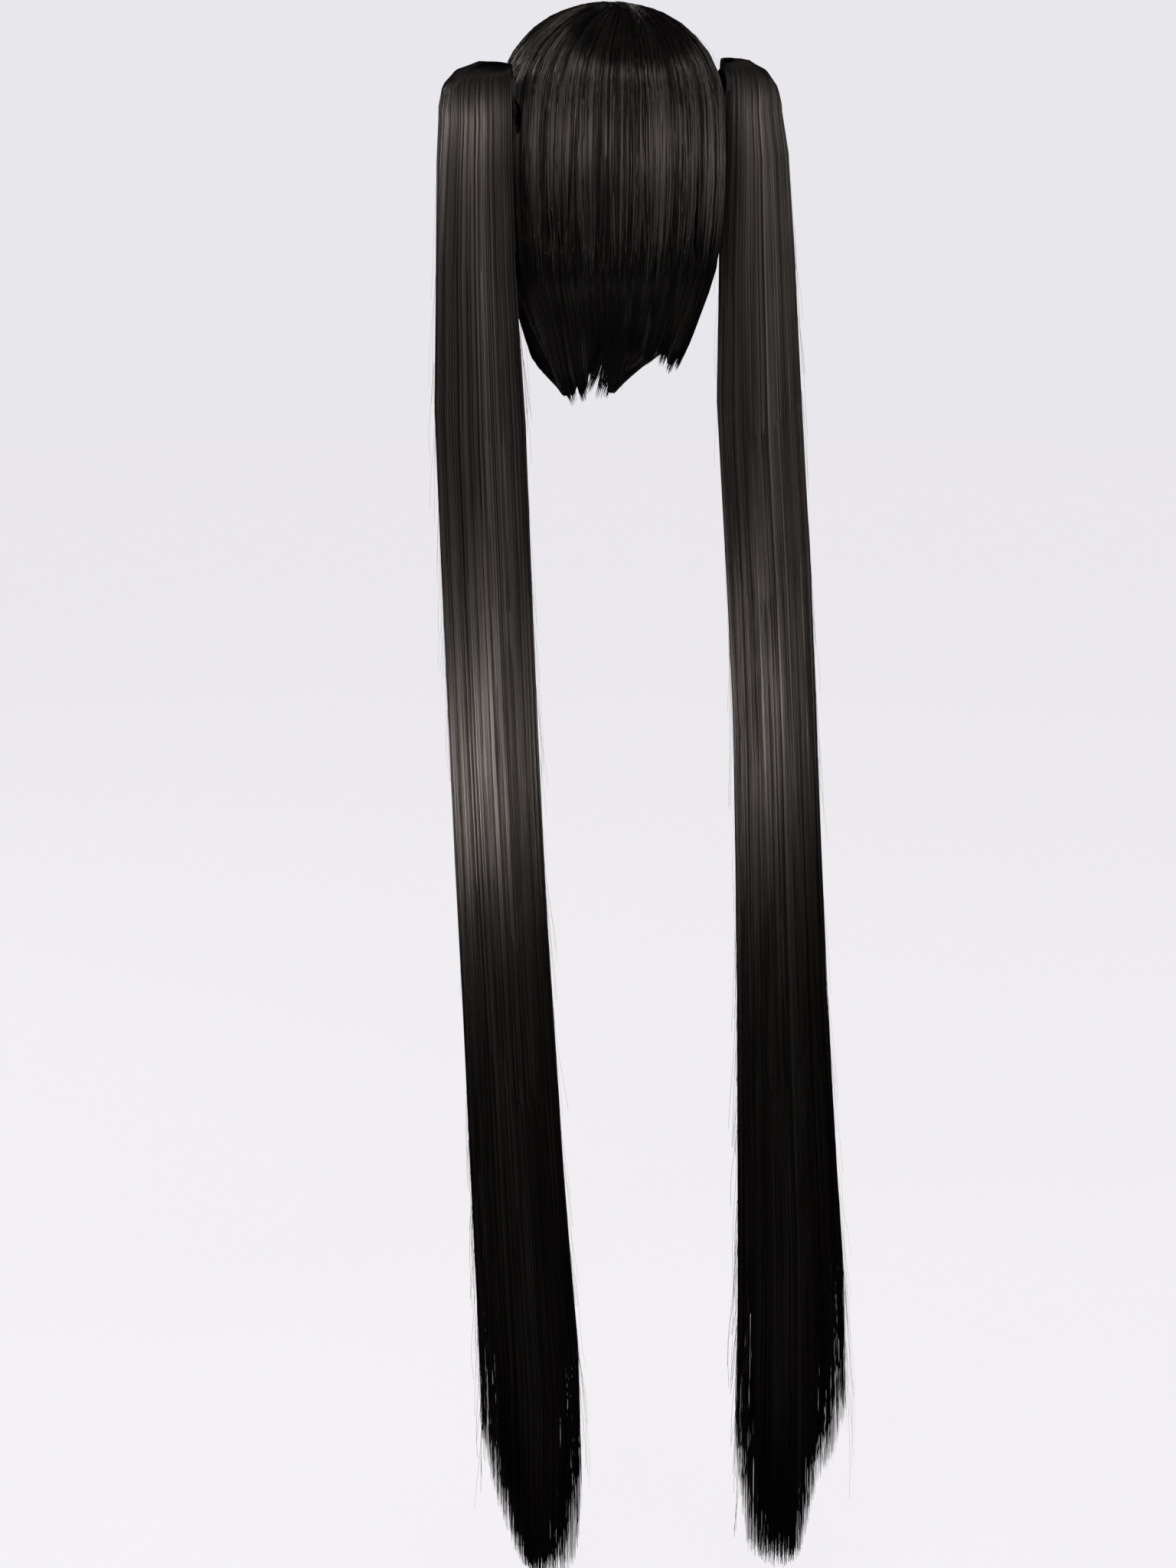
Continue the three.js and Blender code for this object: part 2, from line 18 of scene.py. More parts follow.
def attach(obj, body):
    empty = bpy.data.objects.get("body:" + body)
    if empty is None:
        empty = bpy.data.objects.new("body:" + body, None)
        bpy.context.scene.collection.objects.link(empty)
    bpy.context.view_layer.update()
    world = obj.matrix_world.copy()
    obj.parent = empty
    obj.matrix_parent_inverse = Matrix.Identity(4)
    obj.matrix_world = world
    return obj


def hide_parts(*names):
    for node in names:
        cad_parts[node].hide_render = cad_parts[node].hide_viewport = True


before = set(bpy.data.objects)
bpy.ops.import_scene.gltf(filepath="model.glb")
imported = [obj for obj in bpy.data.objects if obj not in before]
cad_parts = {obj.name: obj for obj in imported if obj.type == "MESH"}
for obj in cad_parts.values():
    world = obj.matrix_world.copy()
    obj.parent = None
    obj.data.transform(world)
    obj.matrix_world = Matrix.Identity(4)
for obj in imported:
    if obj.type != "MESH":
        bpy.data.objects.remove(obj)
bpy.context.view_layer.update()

Colour = tuple[float, float, float]
Array = np.ndarray
Rng = np.random.Generator
Material = bpy.types.Material
Mesh = bpy.types.Mesh
Socket = bpy.types.NodeSocket
LOG = logging.getLogger("wig")
TURN = 2 * math.pi
# Uneven lock ends, used over and over along a hem
RAGGED = np.array([0.35, 1, 0.6, 0.85, 0.25, 0.95, 0.5, 0.7])
# Section of a strand, across and above, in half-widths: flat outside, with a keel inside
STRAND_SECTION = np.array([[-1, 0.2], [1, 0.2], [0, -0.5]])
# Point inside the head, from which the strands on it face away
HEAD_MIDDLE = (0, 0, -0.085)
# Spread of the turns of strands round their own lines, in degrees
ROLL_SPREAD = 16
# Parts of a strand's tone that it shares with nearby clumps, with its clump, and with none
WIDE_TONE, CLUMP_TONE, OWN_TONE = 0.18, 0.32, 0.50
TONE_CONTRAST = 1.9
# Share of the crown hem's depth at which a lower layer begins, and its gap there
LAYER_TOP = 0.62
TOP_GAP = 0.0006
# Drop over which a lower layer fills out below the crown layer
FILL_OUT = 0.020
# Sharpness of the valleys between locks
VALLEY_POWER = 4


class Slot(Enum):
    """Names of material slots for hair, cap and clip; no piece is given one here."""

    HAIR = "hair"
    CAP = "cap"
    CLIP = "clip"


class Pattern(Enum):
    """What a hair finish follows: single strands with a tone each, or streaks along a sheet."""

    STRANDS = "strands"
    SHEET = "sheet"


class Table:
    """Rows of named columns, read smoothly between their places."""

    def __init__(self, places: list[float], **columns: list[float]) -> None:
        """Keep the columns.

        Args:
            places: The place of each row, rising.
            **columns: The values of each named column.
        """
        self.places = np.array(places, float)
        self.columns = {name: np.array(values, float) for name, values in columns.items()}

    def at(self, name: str, where: Array | float) -> Array:
        """Read a column.

        Args:
            name: The column.
            where: Places to read it at.

        Returns:
            The values there, held at the ends.
        """
        places = self.places
        values = self.columns[name]
        last = len(places) - 1
        where = np.clip(np.asarray(where, float), places[0], places[last])
        start = np.clip(np.searchsorted(places, where, side="right") - 1, 0, last - 1)
        rows = np.arange(last + 1)
        before, after = np.maximum(rows - 1, 0), np.minimum(rows + 1, last)
        slopes = (values[after] - values[before]) / (places[after] - places[before])
        span = places[start + 1] - places[start]
        step = (where - places[start]) / span
        rise = values[start + 1] - values[start]
        first, second = slopes[start] * span, slopes[start + 1] * span
        square, cube = 3 * rise - 2 * first - second, first + second - 2 * rise
        return values[start] + step * (first + step * (square + step * cube))


def smooth(low: float, high: float, value: Array) -> Array:
    """Rise smoothly from 0 at low to 1 at high."""
    share = np.clip((value - low) / (high - low), 0, 1)
    return share * share * (3 - 2 * share)


def unit(vectors: Array) -> Array:
    """Scale vectors to length 1."""
    return vectors / np.maximum(np.linalg.norm(vectors, axis=-1, keepdims=True), 1e-12)


def triple(x: Array, y: Array, z: Array) -> Array:
    """Join three coordinates into points."""
    return np.stack([x, y, z], -1)


def steps_along(steps: int) -> Array:
    """Give the places along a strand, from 0 to 1, as one row."""
    return np.linspace(0, 1, steps)[None]


def ragged(lock: Array) -> Array:
    """Give the unevenness of each lock's end."""
    return RAGGED[lock % len(RAGGED)]


def drift(rng: Rng, count: int, along: Array, slowest: float, fastest: float) -> Array:
    """Make smooth random drifts.

    Args:
        rng: The seeded source.
        count: The number of drifts.
        along: Places along each drift, one row for all or one for each.
        slowest: The fewest waves for each unit of along.
        fastest: The most waves for each unit of along.

    Returns:
        One row for each drift, mostly from -1 to 1.
    """
    waves = 3
    pace = rng.uniform(slowest, fastest, (waves, count, 1))
    phase = rng.uniform(0, TURN, (waves, count, 1))
    size = rng.uniform(0.3, 0.7, (waves, count, 1))
    return (size * np.sin(TURN * pace * along[None] + phase)).sum(0)


@dataclass(frozen=True)
class HeadForm:
    """Form of the head hollow, on which every layer of the wig lies."""

    half_width: float = 0.074
    half_depth: float = 0.094
    dome_height: float = 0.070
    fullness: float = 2.1
    drop: float = 0.230
    shares: Table = Table(
        [0, 0.16, 0.42, 0.56, 0.65, 0.77, 0.85, 1],
        width=[1, 1.02, 0.995, 0.96, 0.885, 0.775, 0.71, 0.6],
        depth=[1, 1.015, 0.985, 0.93, 0.86, 0.745, 0.67, 0.56],
    )

    def station(self, depth: Array) -> Array:
        """Give the station of a depth: 0 at the top, 1 at the widest level, more below."""
        inside = np.clip(1 - depth / self.dome_height, 0, 1)
        dome = np.arccos(inside ** (self.fullness / 2)) / (math.pi / 2)
        return np.where(depth >= self.dome_height, 1 + (depth - self.dome_height) / self.drop, dome)

    def point(self, angle: Array, station: Array, grow: Array) -> Array:
        """Give points of the form.

        Args:
            angle: Degrees round the head.
            station: Stations down the head.
            grow: Distance outside the head hollow.

        Returns:
            Points with a last axis of 3.
        """
        angle, station, grow = np.broadcast_arrays(angle, station, grow)
        drop = np.maximum(station - 1, 0)
        arc = np.minimum(station, 1) * (math.pi / 2)
        reach = np.sin(arc) ** (2 / self.fullness)
        dome = (self.dome_height + grow) * np.maximum(np.cos(arc), 0) ** (2 / self.fullness)
        rise = np.where(station < 1, dome, 0)
        turn = np.radians(angle)
        return triple(
            (self.half_width + grow) * self.shares.at("width", drop) * reach * np.cos(turn),
            (self.half_depth + grow) * self.shares.at("depth", drop) * reach * np.sin(turn),
            rise - self.dome_height - drop * self.drop,
        )


def from_front(angle: Array) -> Array:
    """Give the turn from the middle of the front, 0, to the middle of the back, 1."""
    turned = np.mod(np.asarray(angle, float) + 90, 360)
    return np.minimum(turned, 360 - turned) / 180


@dataclass(frozen=True)
class Layers:
    """Sizes that the layers of hair share, and the hems that they meet at."""

    head: HeadForm = HeadForm()
    under_inside: float = 0.0022
    under_outside: float = 0.0062
    crown_outside: float = 0.0130
    lower_outside: float = 0.0115
    crown_hem_depth: float = 0.160
    crown_tip: float = 0.012
    ridge: float = 0.0016
    crown_hem: Table = Table(
        [0, 0.2, 0.29, 0.37, 0.46, 0.65, 1],
        drop=[0.34, 0.37, 0.43, 0.62, 0.8, 0.93, 1],
    )

    def crown_hem_at(self, angle: Array) -> Array:
        """Give the depth of the crown layer's hem at an angle."""
        return self.crown_hem_depth * self.crown_hem.at("drop", from_front(angle))


class NodeSheet:
    """The node tree of one material, with short calls that add and join nodes."""

    def __init__(self, name: str) -> None:
        """Start a material with its Principled shader."""
        self.material = bpy.data.materials.new(name)
        self.material.use_nodes = True
        self.tree = self.material.node_tree
        self.shader = next(n for n in self.tree.nodes if n.type == "BSDF_PRINCIPLED")

    def add(self, kind: str, inputs: dict[str, object] | None = None, **settings: object) -> bpy.types.Node:
        """Add a node.

        Args:
            kind: The node's type name.
            inputs: Values or output sockets, by input name.
            **settings: Properties of the node.

        Returns:
            The node.
        """
        node = self.tree.nodes.new(kind)
        for key, value in settings.items():
            setattr(node, key, value)
        self.feed(node, inputs or {})
        return node

    def feed(self, node: bpy.types.Node, inputs: dict[str, object]) -> None:
        """Set or join a node's inputs, by name."""
        for key, value in inputs.items():
            socket = node.inputs[key]
            if isinstance(value, Socket):
                self.tree.links.new(value, socket)
            elif socket.type == "RGBA":
                socket.default_value = (*value, 1)
            else:
                socket.default_value = value

    def stretched(self, source: Socket, scale: Colour) -> Socket:
        """Give coordinates scaled along each axis."""
        mapping = self.add("ShaderNodeMapping", {"Vector": source, "Scale": scale})
        return mapping.outputs["Vector"]

    def noise(self, at: Socket, scale: float, detail: float = 3) -> Socket:
        """Give a noise from 0 to 1."""
        node = self.add("ShaderNodeTexNoise", {"Vector": at, "Scale": scale, "Detail": detail})
        return node.outputs["Fac"]

    def ramp(self, value: Socket, low: float, high: float, start: float, end: float) -> Socket:
        """Map a value from low to high on to start to end."""
        limits = {"From Min": low, "From Max": high, "To Min": start, "To Max": end}
        return self.add("ShaderNodeMapRange", {"Value": value, **limits}).outputs["Result"]

    def finish(self, inputs: dict[str, object]) -> Material:
        """Feed the shader and give the finished material."""
        self.feed(self.shader, inputs)
        return self.material

    def blend(self, share: Socket, first: Colour, second: Colour) -> Socket:
        """Mix two colours by a share."""
        node = self.add("ShaderNodeMix", data_type="RGBA")
        self.tree.links.new(share, node.inputs[0])
        node.inputs[6].default_value = (*first, 1)
        node.inputs[7].default_value = (*second, 1)
        return node.outputs[2]

    def bump(self, height: Socket, strength: float, distance: float) -> None:
        """Put a bump on the shader."""
        node = self.add("ShaderNodeBump", {"Height": height, "Strength": strength, "Distance": distance})
        self.tree.links.new(node.outputs["Normal"], self.shader.inputs["Normal"])


@dataclass(frozen=True)
class HairFinish:
    """Straight synthetic hair, near black, with a warm sheen in streaks along the strands."""

    name: str
    pattern: Pattern
    gloss: float
    dark: Colour = (0.0009, 0.0009, 0.0009)
    light: Colour = (0.0036, 0.0031, 0.0029)
    smoothest: float = 0.45
    roughest: float = 0.56
    along: float = 1.0
    faint: Colour = (0.14, 0.12, 0.115)
    warm: Colour = (1.0, 0.88, 0.81)

    def material(self) -> Material:
        """Build the material.

        Returns:
            The material, its tone from the strands' attribute or from streaks on the map.
        """
        sheet = NodeSheet(self.name)
        if self.pattern is Pattern.STRANDS:
            # The tone attribute holds random strand tone and, on some pieces, painted shade; it sets
            # colour, tint and roughness
            tone = sheet.add("ShaderNodeAttribute", attribute_name="tone").outputs["Fac"]
        else:
            place = sheet.add("ShaderNodeTexCoord").outputs["UV"]
            tone = sheet.noise(sheet.stretched(place, (520, 3, 1)), 1.0)
            fine = sheet.noise(sheet.stretched(place, (1500, 5, 1)), 1.0)
            sheet.bump(fine, 0.6, 0.0006)
        place = sheet.add("ShaderNodeTexCoord").outputs["Object"]
        patch = sheet.noise(sheet.stretched(place, (60, 60, 6)), 1.0)
        mixed = sheet.add("ShaderNodeMath", {0: tone, 1: patch}, operation="MULTIPLY").outputs[0]
        lightness = sheet.ramp(mixed, 0.08, 0.40, 0, 1)
        strands = sheet.add("ShaderNodeTangent", direction_type="UV_MAP", uv_map="UVMap")
        return sheet.finish({
            "Base Color": sheet.blend(lightness, self.dark, self.light),
            "Roughness": sheet.ramp(tone, 0.15, 0.85, self.roughest, self.smoothest),
            "Specular IOR Level": self.gloss,
            "Specular Tint": sheet.blend(lightness, self.faint, self.warm),
            "Anisotropic": self.along,
            "Tangent": strands.outputs["Tangent"],
        })


@dataclass(frozen=True)
class NetFinish:
    """Stretch net of the cap, with rows of stitched tape that the hair is sewn to."""

    name: str = "cap_net"
    net: Colour = (0.010, 0.009, 0.009)
    thread: Colour = (0.035, 0.032, 0.030)
    row_pitch: float = 0.008

    def material(self) -> Material:
        """Build the material.

        Returns:
            The material, in rows along Z with a fine mesh between them.
        """
        sheet = NodeSheet(self.name)
        place = sheet.add("ShaderNodeTexCoord").outputs["Object"]
        mesh_scale = {"Vector": place, "Scale": 900.0}
        cells = sheet.add("ShaderNodeTexVoronoi", mesh_scale, feature="DISTANCE_TO_EDGE")
        bands = {"Scale": 0.314 / self.row_pitch, "Distortion": 0.4, "Detail": 2.0, "Detail Scale": 3.0}
        rows = sheet.add("ShaderNodeTexWave", {"Vector": place, **bands}, bands_direction="Z")
        mesh = sheet.ramp(cells.outputs["Distance"], 0.02, 0.12, 1, 0)
        tape = sheet.ramp(rows.outputs["Fac"], 0.72, 0.86, 0, 1)
        raised = sheet.add("ShaderNodeMath", {0: mesh, 1: tape}, operation="MAXIMUM").outputs[0]
        sheet.bump(raised, 0.7, 0.0005)
        return sheet.finish({
            "Base Color": sheet.blend(raised, self.net, self.thread),
            "Roughness": sheet.ramp(raised, 0, 1, 0.92, 0.72),
            "Specular IOR Level": 0.25,
            "Sheen Weight": 0.15,
        })


@dataclass(frozen=True)
class PlasticFinish:
    """Matte moulded plastic of the clips, with a fine grain."""

    name: str = "clip_plastic"
    colour: Colour = (0.003, 0.003, 0.003)

    def material(self) -> Material:
        """Build the material."""
        sheet = NodeSheet(self.name)
        place = sheet.add("ShaderNodeTexCoord").outputs["Object"]
        grain = sheet.noise(place, 1800.0, 4)
        sheet.bump(grain, 0.25, 0.0002)
        shade = sheet.blend(sheet.noise(place, 60.0), self.colour, tuple(2 * c for c in self.colour))
        rough = sheet.ramp(grain, 0.3, 0.7, 0.52, 0.66)
        return sheet.finish({"Base Color": shade, "Roughness": rough, "Specular IOR Level": 0.05})


class StrandBatch:
    """Centre lines of many thin strands, joined at the end into one mesh."""

    def __init__(self, centre: Colour) -> None:
        """Start an empty batch.

        Args:
            centre: A point inside the piece, from which the strands' outer sides face away.
        """
        self.centre = np.array(centre)
        self.parts: list[tuple[Array, Array, Array, Array, Array]] = []

    def add(
        self, lines: Array, radius: Array | float, tone: Array, roll: Array, axis: Array | None = None
    ) -> None:
        """Add strands.

        Args:
            lines: Points of the centre lines, strands by places by 3.
            radius: Half the width at each place.
            tone: How light each strand is, from 0 to 1, or a row of such values for each strand; such rows
                carry painted shade along it.
            roll: How far each strand is turned round its own line, in radians.
            axis: Points that the outer sides face away from, if not the centre.
        """
        if axis is None:
            outward = lines - self.centre
            outward[..., 2] = np.maximum(outward[..., 2], 0)
        else:
            outward = lines - axis
        shade = tone[:, None] if tone.ndim == 1 else tone
        shade = np.broadcast_to(shade, lines.shape[:2])
        self.parts.append((lines, np.broadcast_to(radius, lines.shape[:2]).copy(), shade, roll, outward))

    def mesh(self, name: str) -> Mesh:
        """Join the strands.

        Args:
            name: The mesh's name.

        Returns:
            Closed thin strands, flat on the outside, with a tone on each point and a map.
        """
        points, corners, starts, tones, maps = [], [], [], [], []
        base, loops, sides = 0, 0, len(STRAND_SECTION)
        for lines, radius, tone, roll, outward in self.parts:
            count, steps = lines.shape[:2]
            ahead = unit(np.gradient(lines, axis=1))
            across = unit(np.cross(ahead, unit(outward)))
            above = np.cross(across, ahead)
            lean, straight = np.sin(roll)[:, None, None], np.cos(roll)[:, None, None]
            across, above = across * straight + above * lean, above * straight - across * lean
            ring = STRAND_SECTION[:, :1] * across[..., None, :]
            ring = ring + STRAND_SECTION[:, 1:] * above[..., None, :]
            shell = lines[..., None, :] + radius[..., None, None] * ring
            points.append(shell.reshape(-1, 3))
            index = base + np.arange(count * steps * sides).reshape(count, steps, sides)
            here, beside = index, np.roll(index, -1, axis=2)
            quads = np.stack([here[:, :-1], here[:, 1:], beside[:, 1:], beside[:, :-1]], -1).reshape(-1, 4)
            caps = np.concatenate([index[:, 0], index[:, -1, ::-1]])
            corners += [quads.ravel(), caps.ravel()]
            starts += [loops + 4 * np.arange(len(quads)), loops + quads.size + sides * np.arange(len(caps))]
            loops += quads.size + caps.size
            tones.append(np.repeat(tone.ravel(), sides))
            run = np.cumsum(np.linalg.norm(np.diff(lines, axis=1), axis=2), axis=1)
            length = np.concatenate([np.zeros((count, 1)), run], 1)
            column = np.arange(count)[:, None, None] / count + np.arange(sides) / (sides * count)
            maps.append(np.stack(np.broadcast_arrays(column, length[..., None]), -1).reshape(-1, 2))
            base += count * steps * sides
        made = bpy.data.meshes.new(name)
        places = np.concatenate(points)
        ring_corners = np.concatenate(corners)
        made.vertices.add(len(places))
        made.vertices.foreach_set("co", places.astype(np.float32).ravel())
        made.loops.add(len(ring_corners))
        made.loops.foreach_set("vertex_index", ring_corners.astype(np.int32))
        first = np.concatenate(starts)
        made.polygons.add(len(first))
        made.polygons.foreach_set("loop_start", first.astype(np.int32))
        made.polygons.foreach_set("use_smooth", np.ones(len(first), bool))
        made.update(calc_edges=True)
        ends = np.zeros(2 * len(made.edges), np.int32)
        made.edges.foreach_get("vertices", ends)
        lengthwise = np.abs(ends[::2] - ends[1::2]) == sides
        made.attributes.new("sharp_edge", "BOOLEAN", "EDGE").data.foreach_set("value", lengthwise)
        tone = made.attributes.new("tone", "FLOAT", "POINT")
        tone.data.foreach_set("value", np.concatenate(tones).astype(np.float32))
        chart = np.concatenate(maps)[ring_corners]
        made.uv_layers.new(name="UVMap").data.foreach_set("uv", chart.astype(np.float32).ravel())
        return made


def bent_sheet(
    name: str,
    columns: int,
    rows: int,
    place: Callable[[Array, Array], Array],
    wall: float,
    closed_ends: bool = False,
) -> Mesh:
    """Bend a flat grid into a hair form and close it.

    Args:
        name: The mesh's name.
        columns: Steps across the grid.
        rows: Steps down the grid.
        place: Gives points from the shares across and down.
        wall: Thickness given towards the inside, or 0 for a form whose ends are filled.
        closed_ends: Whether the two ends are filled in place of a wall.

    Returns:
        The closed mesh with a map across and down.
    """
    shaped = bmesh.new()
    shaped.loops.layers.uv.new("UVMap")
    bmesh.ops.create_grid(shaped, x_segments=columns, y_segments=rows, size=0.5, calc_uvs=True)
    flat = np.array([v.co for v in shaped.verts])
    across = np.clip(flat[:, 0] + 0.5, 0, 1)
    down = np.clip(0.5 - flat[:, 1], 0, 1)
    for vertex, co in zip(shaped.verts, place(across, down)):
        vertex.co = Vector(co)
    bmesh.ops.remove_doubles(shaped, verts=shaped.verts, dist=1e-6)
    bmesh.ops.dissolve_degenerate(shaped, edges=shaped.edges, dist=1e-7)
    bmesh.ops.recalc_face_normals(shaped, faces=shaped.faces)
    if closed_ends:
        bmesh.ops.holes_fill(shaped, edges=[e for e in shaped.edges if e.is_boundary])
    if wall > 0:
        middle = sum((v.co for v in shaped.verts), Vector()) / len(shaped.verts)
        facing = sum(f.normal.dot(f.calc_center_median() - middle) * f.calc_area() for f in shaped.faces)
        if facing < 0:
            bmesh.ops.reverse_faces(shaped, faces=shaped.faces)
        bmesh.ops.solidify(shaped, geom=shaped.faces[:], thickness=wall)
    bmesh.ops.recalc_face_normals(shaped, faces=shaped.faces)
    for face in shaped.faces:
        face.smooth = True
    made = bpy.data.meshes.new(name)
    shaped.to_mesh(made)
    shaped.free()
    return made


def show(name: str, mesh: Mesh, material: Material, node: str) -> bpy.types.Object:
    """Make a piece of a mesh, in place of a node of the frame.

    Args:
        name: The piece's name.
        mesh: Its mesh, in place.
        material: Its finish.
        node: The node that it replaces.

    Returns:
        The piece.
    """
    mesh.materials.append(material)
    piece = bpy.data.objects.new(name, mesh)
    bpy.context.scene.collection.objects.link(piece)
    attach(piece, "root")
    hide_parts(node)
    triangles = sum(len(p.vertices) - 2 for p in mesh.polygons)
    LOG.info("%s: %d triangles, in place of %s", name, triangles, node)
    return piece


@dataclass(frozen=True)
class Finishes:
    """The finished materials, each made once."""

    crown: Material
    tail: Material
    under: Material
    sheet: Material
    net: Material
    plastic: Material

    @classmethod
    def build(cls) -> "Finishes":
        """Build every material."""
        return cls(
            HairFinish("hair_crown", Pattern.STRANDS, 0.28).material(),
            HairFinish("hair_tail", Pattern.STRANDS, 0.68).material(),
            # A duller copy of the hair, for the layer that is given painted shade
            HairFinish("hair_under_painted_shade", Pattern.STRANDS, 0.08).material(),
            HairFinish("hair_sheet", Pattern.SHEET, 0.08).material(),
            NetFinish().material(),
            PlasticFinish().material(),
        )


def rolls(rng: Rng, count: int) -> Array:
    """Give each strand its small turn round its own line, in radians."""
    return np.radians(rng.normal(0, ROLL_SPREAD, count))


def shades(rng: Rng, clumps: int, clump: Array) -> Array:
    """Give each strand its tone, partly shared by its clump and by the clumps beside it."""
    beside = 5
    wide = WIDE_TONE * rng.random(clumps // beside + 1)[clump // beside]
    tone = wide + CLUMP_TONE * rng.random(clumps)[clump] + OWN_TONE * rng.random(len(clump))
    return np.clip(0.5 + TONE_CONTRAST * (tone - 0.5), 0, 1)


def taper(steps: int, thick: float, root: float = 0.6, tip: float = 0.25) -> Array:
    """Give half-thicknesses along a strand: thinner at the root and at the tip."""
    share = np.linspace(0, 1, steps)
    return thick * (root + (1 - root) * smooth(0, 0.12, share)) * (1 - (1 - tip) * smooth(0.8, 1, share))


class HairPiece:
    """Hair in two meshes, a backing and its strands, both in place of one node."""

    node: str

    def body(self) -> Mesh:
        """Make the backing."""
        raise NotImplementedError

    def strand_lines(self, rng: Rng) -> StrandBatch:
        """Make the strands."""
        raise NotImplementedError

    def strand_finish(self, finishes: Finishes) -> Material:
        """Give the finish of the strands."""
        return finishes.crown

    def build(self, finishes: Finishes, seed: int) -> None:
        """Build and dress both meshes, with the strands drawn at random from the seed."""
        show(self.node + "_body", self.body(), finishes.sheet, self.node)
        mesh = self.strand_lines(np.random.default_rng(seed)).mesh(self.node + "_strands")
        show(self.node + "_strands", mesh, self.strand_finish(finishes), self.node)


@dataclass
class CrownHair(HairPiece):
    """Upper layer of the head, combed down from the whorl to its uneven hem, with painted shade on its
    lower part.
    """

    layers: Layers
    locks: int = 22
    strands: int = 2750
    steps: int = 12
    thick: float = 0.00048
    whorl_turn: float = 26.0
    # Depths over which the crown's lower part darkens: painted shade
    painted_shade_top: float = 0.150
    painted_shade_foot: float = 0.205
    node: str = "crown_hair"

    def lock_shape(self, angle: Array) -> tuple[Array, Array, Array]:
        """Give each angle's lock: its number, its middle, and how near the angle is to its side."""
        width = 360 / self.locks
        number = np.floor(np.mod(angle, 360) / width).astype(int)
        middle = (number + 0.5) * width
        side = np.abs(np.mod(angle, 360) - middle) / (width / 2)
        return number, middle, side

    def body(self) -> Mesh:
        """Make the backing of the layer, just inside its strands."""
        layers = self.layers

        def place(across: Array, down: Array) -> Array:
            angle = 360 * across
            number, _, side = self.lock_shape(angle)
            sharp = side ** VALLEY_POWER
            hem = layers.crown_hem_at(angle) + layers.crown_tip * (ragged(number) * (1 - sharp) - 0.8)
            depth_station = layers.head.station(hem) * down
            valley = layers.ridge * down * sharp
            edge = 0.0022 * smooth(0.9, 1, down)
            return layers.head.point(angle, depth_station, layers.crown_outside - 0.0016 - valley - edge)

        return bent_sheet(self.node + "_body", 220, 30, place, 0.0022)

    def strand_lines(self, rng: Rng) -> StrandBatch:
        """Make the strands: each runs from the whorl, or from a row below it, down to its end."""
        layers = self.layers
        batch = StrandBatch(HEAD_MIDDLE)
        count, steps = self.strands, self.steps
        clumps = 210
        along = steps_along(steps)
        angle = rng.uniform(0, 360, count)
        clump = np.floor(angle / 360 * clumps).astype(int)
        number, middle, side = self.lock_shape(angle)
        hem = layers.crown_hem_at(angle) + layers.crown_tip * ragged(number) * (1 - side ** 3)
        beyond = np.select(
            [rng.random(count) < 0.40, rng.random(count) < 0.6],
            [rng.uniform(-0.014, 0.006, count), rng.uniform(0, 0.026, count)],
            rng.uniform(0.018, 0.062, count),
        )
        end = hem + beyond
        last = layers.head.station(end)
        from_whorl = rng.random(count) < 0.3
        first = np.where(from_whorl, rng.uniform(0.02, 0.12, count), 0.75 * rng.random(count) ** 0.6)
        station = first[:, None] + (last - first)[:, None] * along
        swirl = self.whorl_turn * (1 - np.minimum(station, 1)) ** 3
        pull = 0.20 * smooth(0.8, 1, along) * (middle - np.mod(angle, 360))[:, None]
        sway = 0.35 * drift(rng, clumps, along, 0.3, 1.2)[clump]
        sway = sway + 0.3 * drift(rng, count, along, 0.4, 2.0)
        turned = angle[:, None] + swirl + pull + sway * smooth(0.1, 0.6, station)
        level = rng.random(count) ** 1.5
        sunk = 0.0012 * level[:, None] + 0.0030 * (1 - smooth(0, 0.25, along)) * (first[:, None] > 0.13)
        lift = 0.0005 * drift(rng, clumps, along, 0.8, 2.2)[clump]
        lift = lift + 0.0002 * drift(rng, count, along, 1.0, 3.0)
        below = smooth(0, 0.16, station - layers.head.station(hem)[:, None])
        tuck = (0.0010 + 0.0022 * level[:, None]) * smooth(0.86, 1, along) * (1 - below) + 0.0010 * below
        valley = 0.3 * layers.ridge * side[:, None] ** VALLEY_POWER * along
        grow = layers.crown_outside - 0.0004 - sunk - valley - tuck + lift
        lines = layers.head.point(turned, station, grow)
        # Painted shade: the strands darken below these depths, where the crown turns under
        painted_shade = 1 - 0.85 * smooth(self.painted_shade_top, self.painted_shade_foot, -lines[..., 2])
        tone = shades(rng, clumps, clump)[:, None] * painted_shade
        batch.add(lines, taper(steps, self.thick), tone, rolls(rng, count))
        self.flyaways(rng, batch)
        return batch

    def flyaways(self, rng: Rng, batch: StrandBatch) -> None:
        """Add single loose hairs that lift off the surface."""
        count, steps = 60, 11
        along = steps_along(steps)
        angle = rng.uniform(0, 360, count)[:, None]
        start = rng.uniform(0.1, 0.8, count)[:, None]
        station = start + rng.uniform(0.3, 0.8, count)[:, None] * along
        lift = rng.uniform(0.001, 0.006, count)[:, None] * smooth(0.2, 1, along)
        turned = angle + 4 * drift(rng, count, along, 0.3, 1.0) * along
        grow = self.layers.crown_outside + lift - 0.001
        lines = self.layers.head.point(turned, np.minimum(station, 1.3 + 0.1 * along), grow)
        batch.add(lines, 0.00010, rng.random(count), rolls(rng, count))


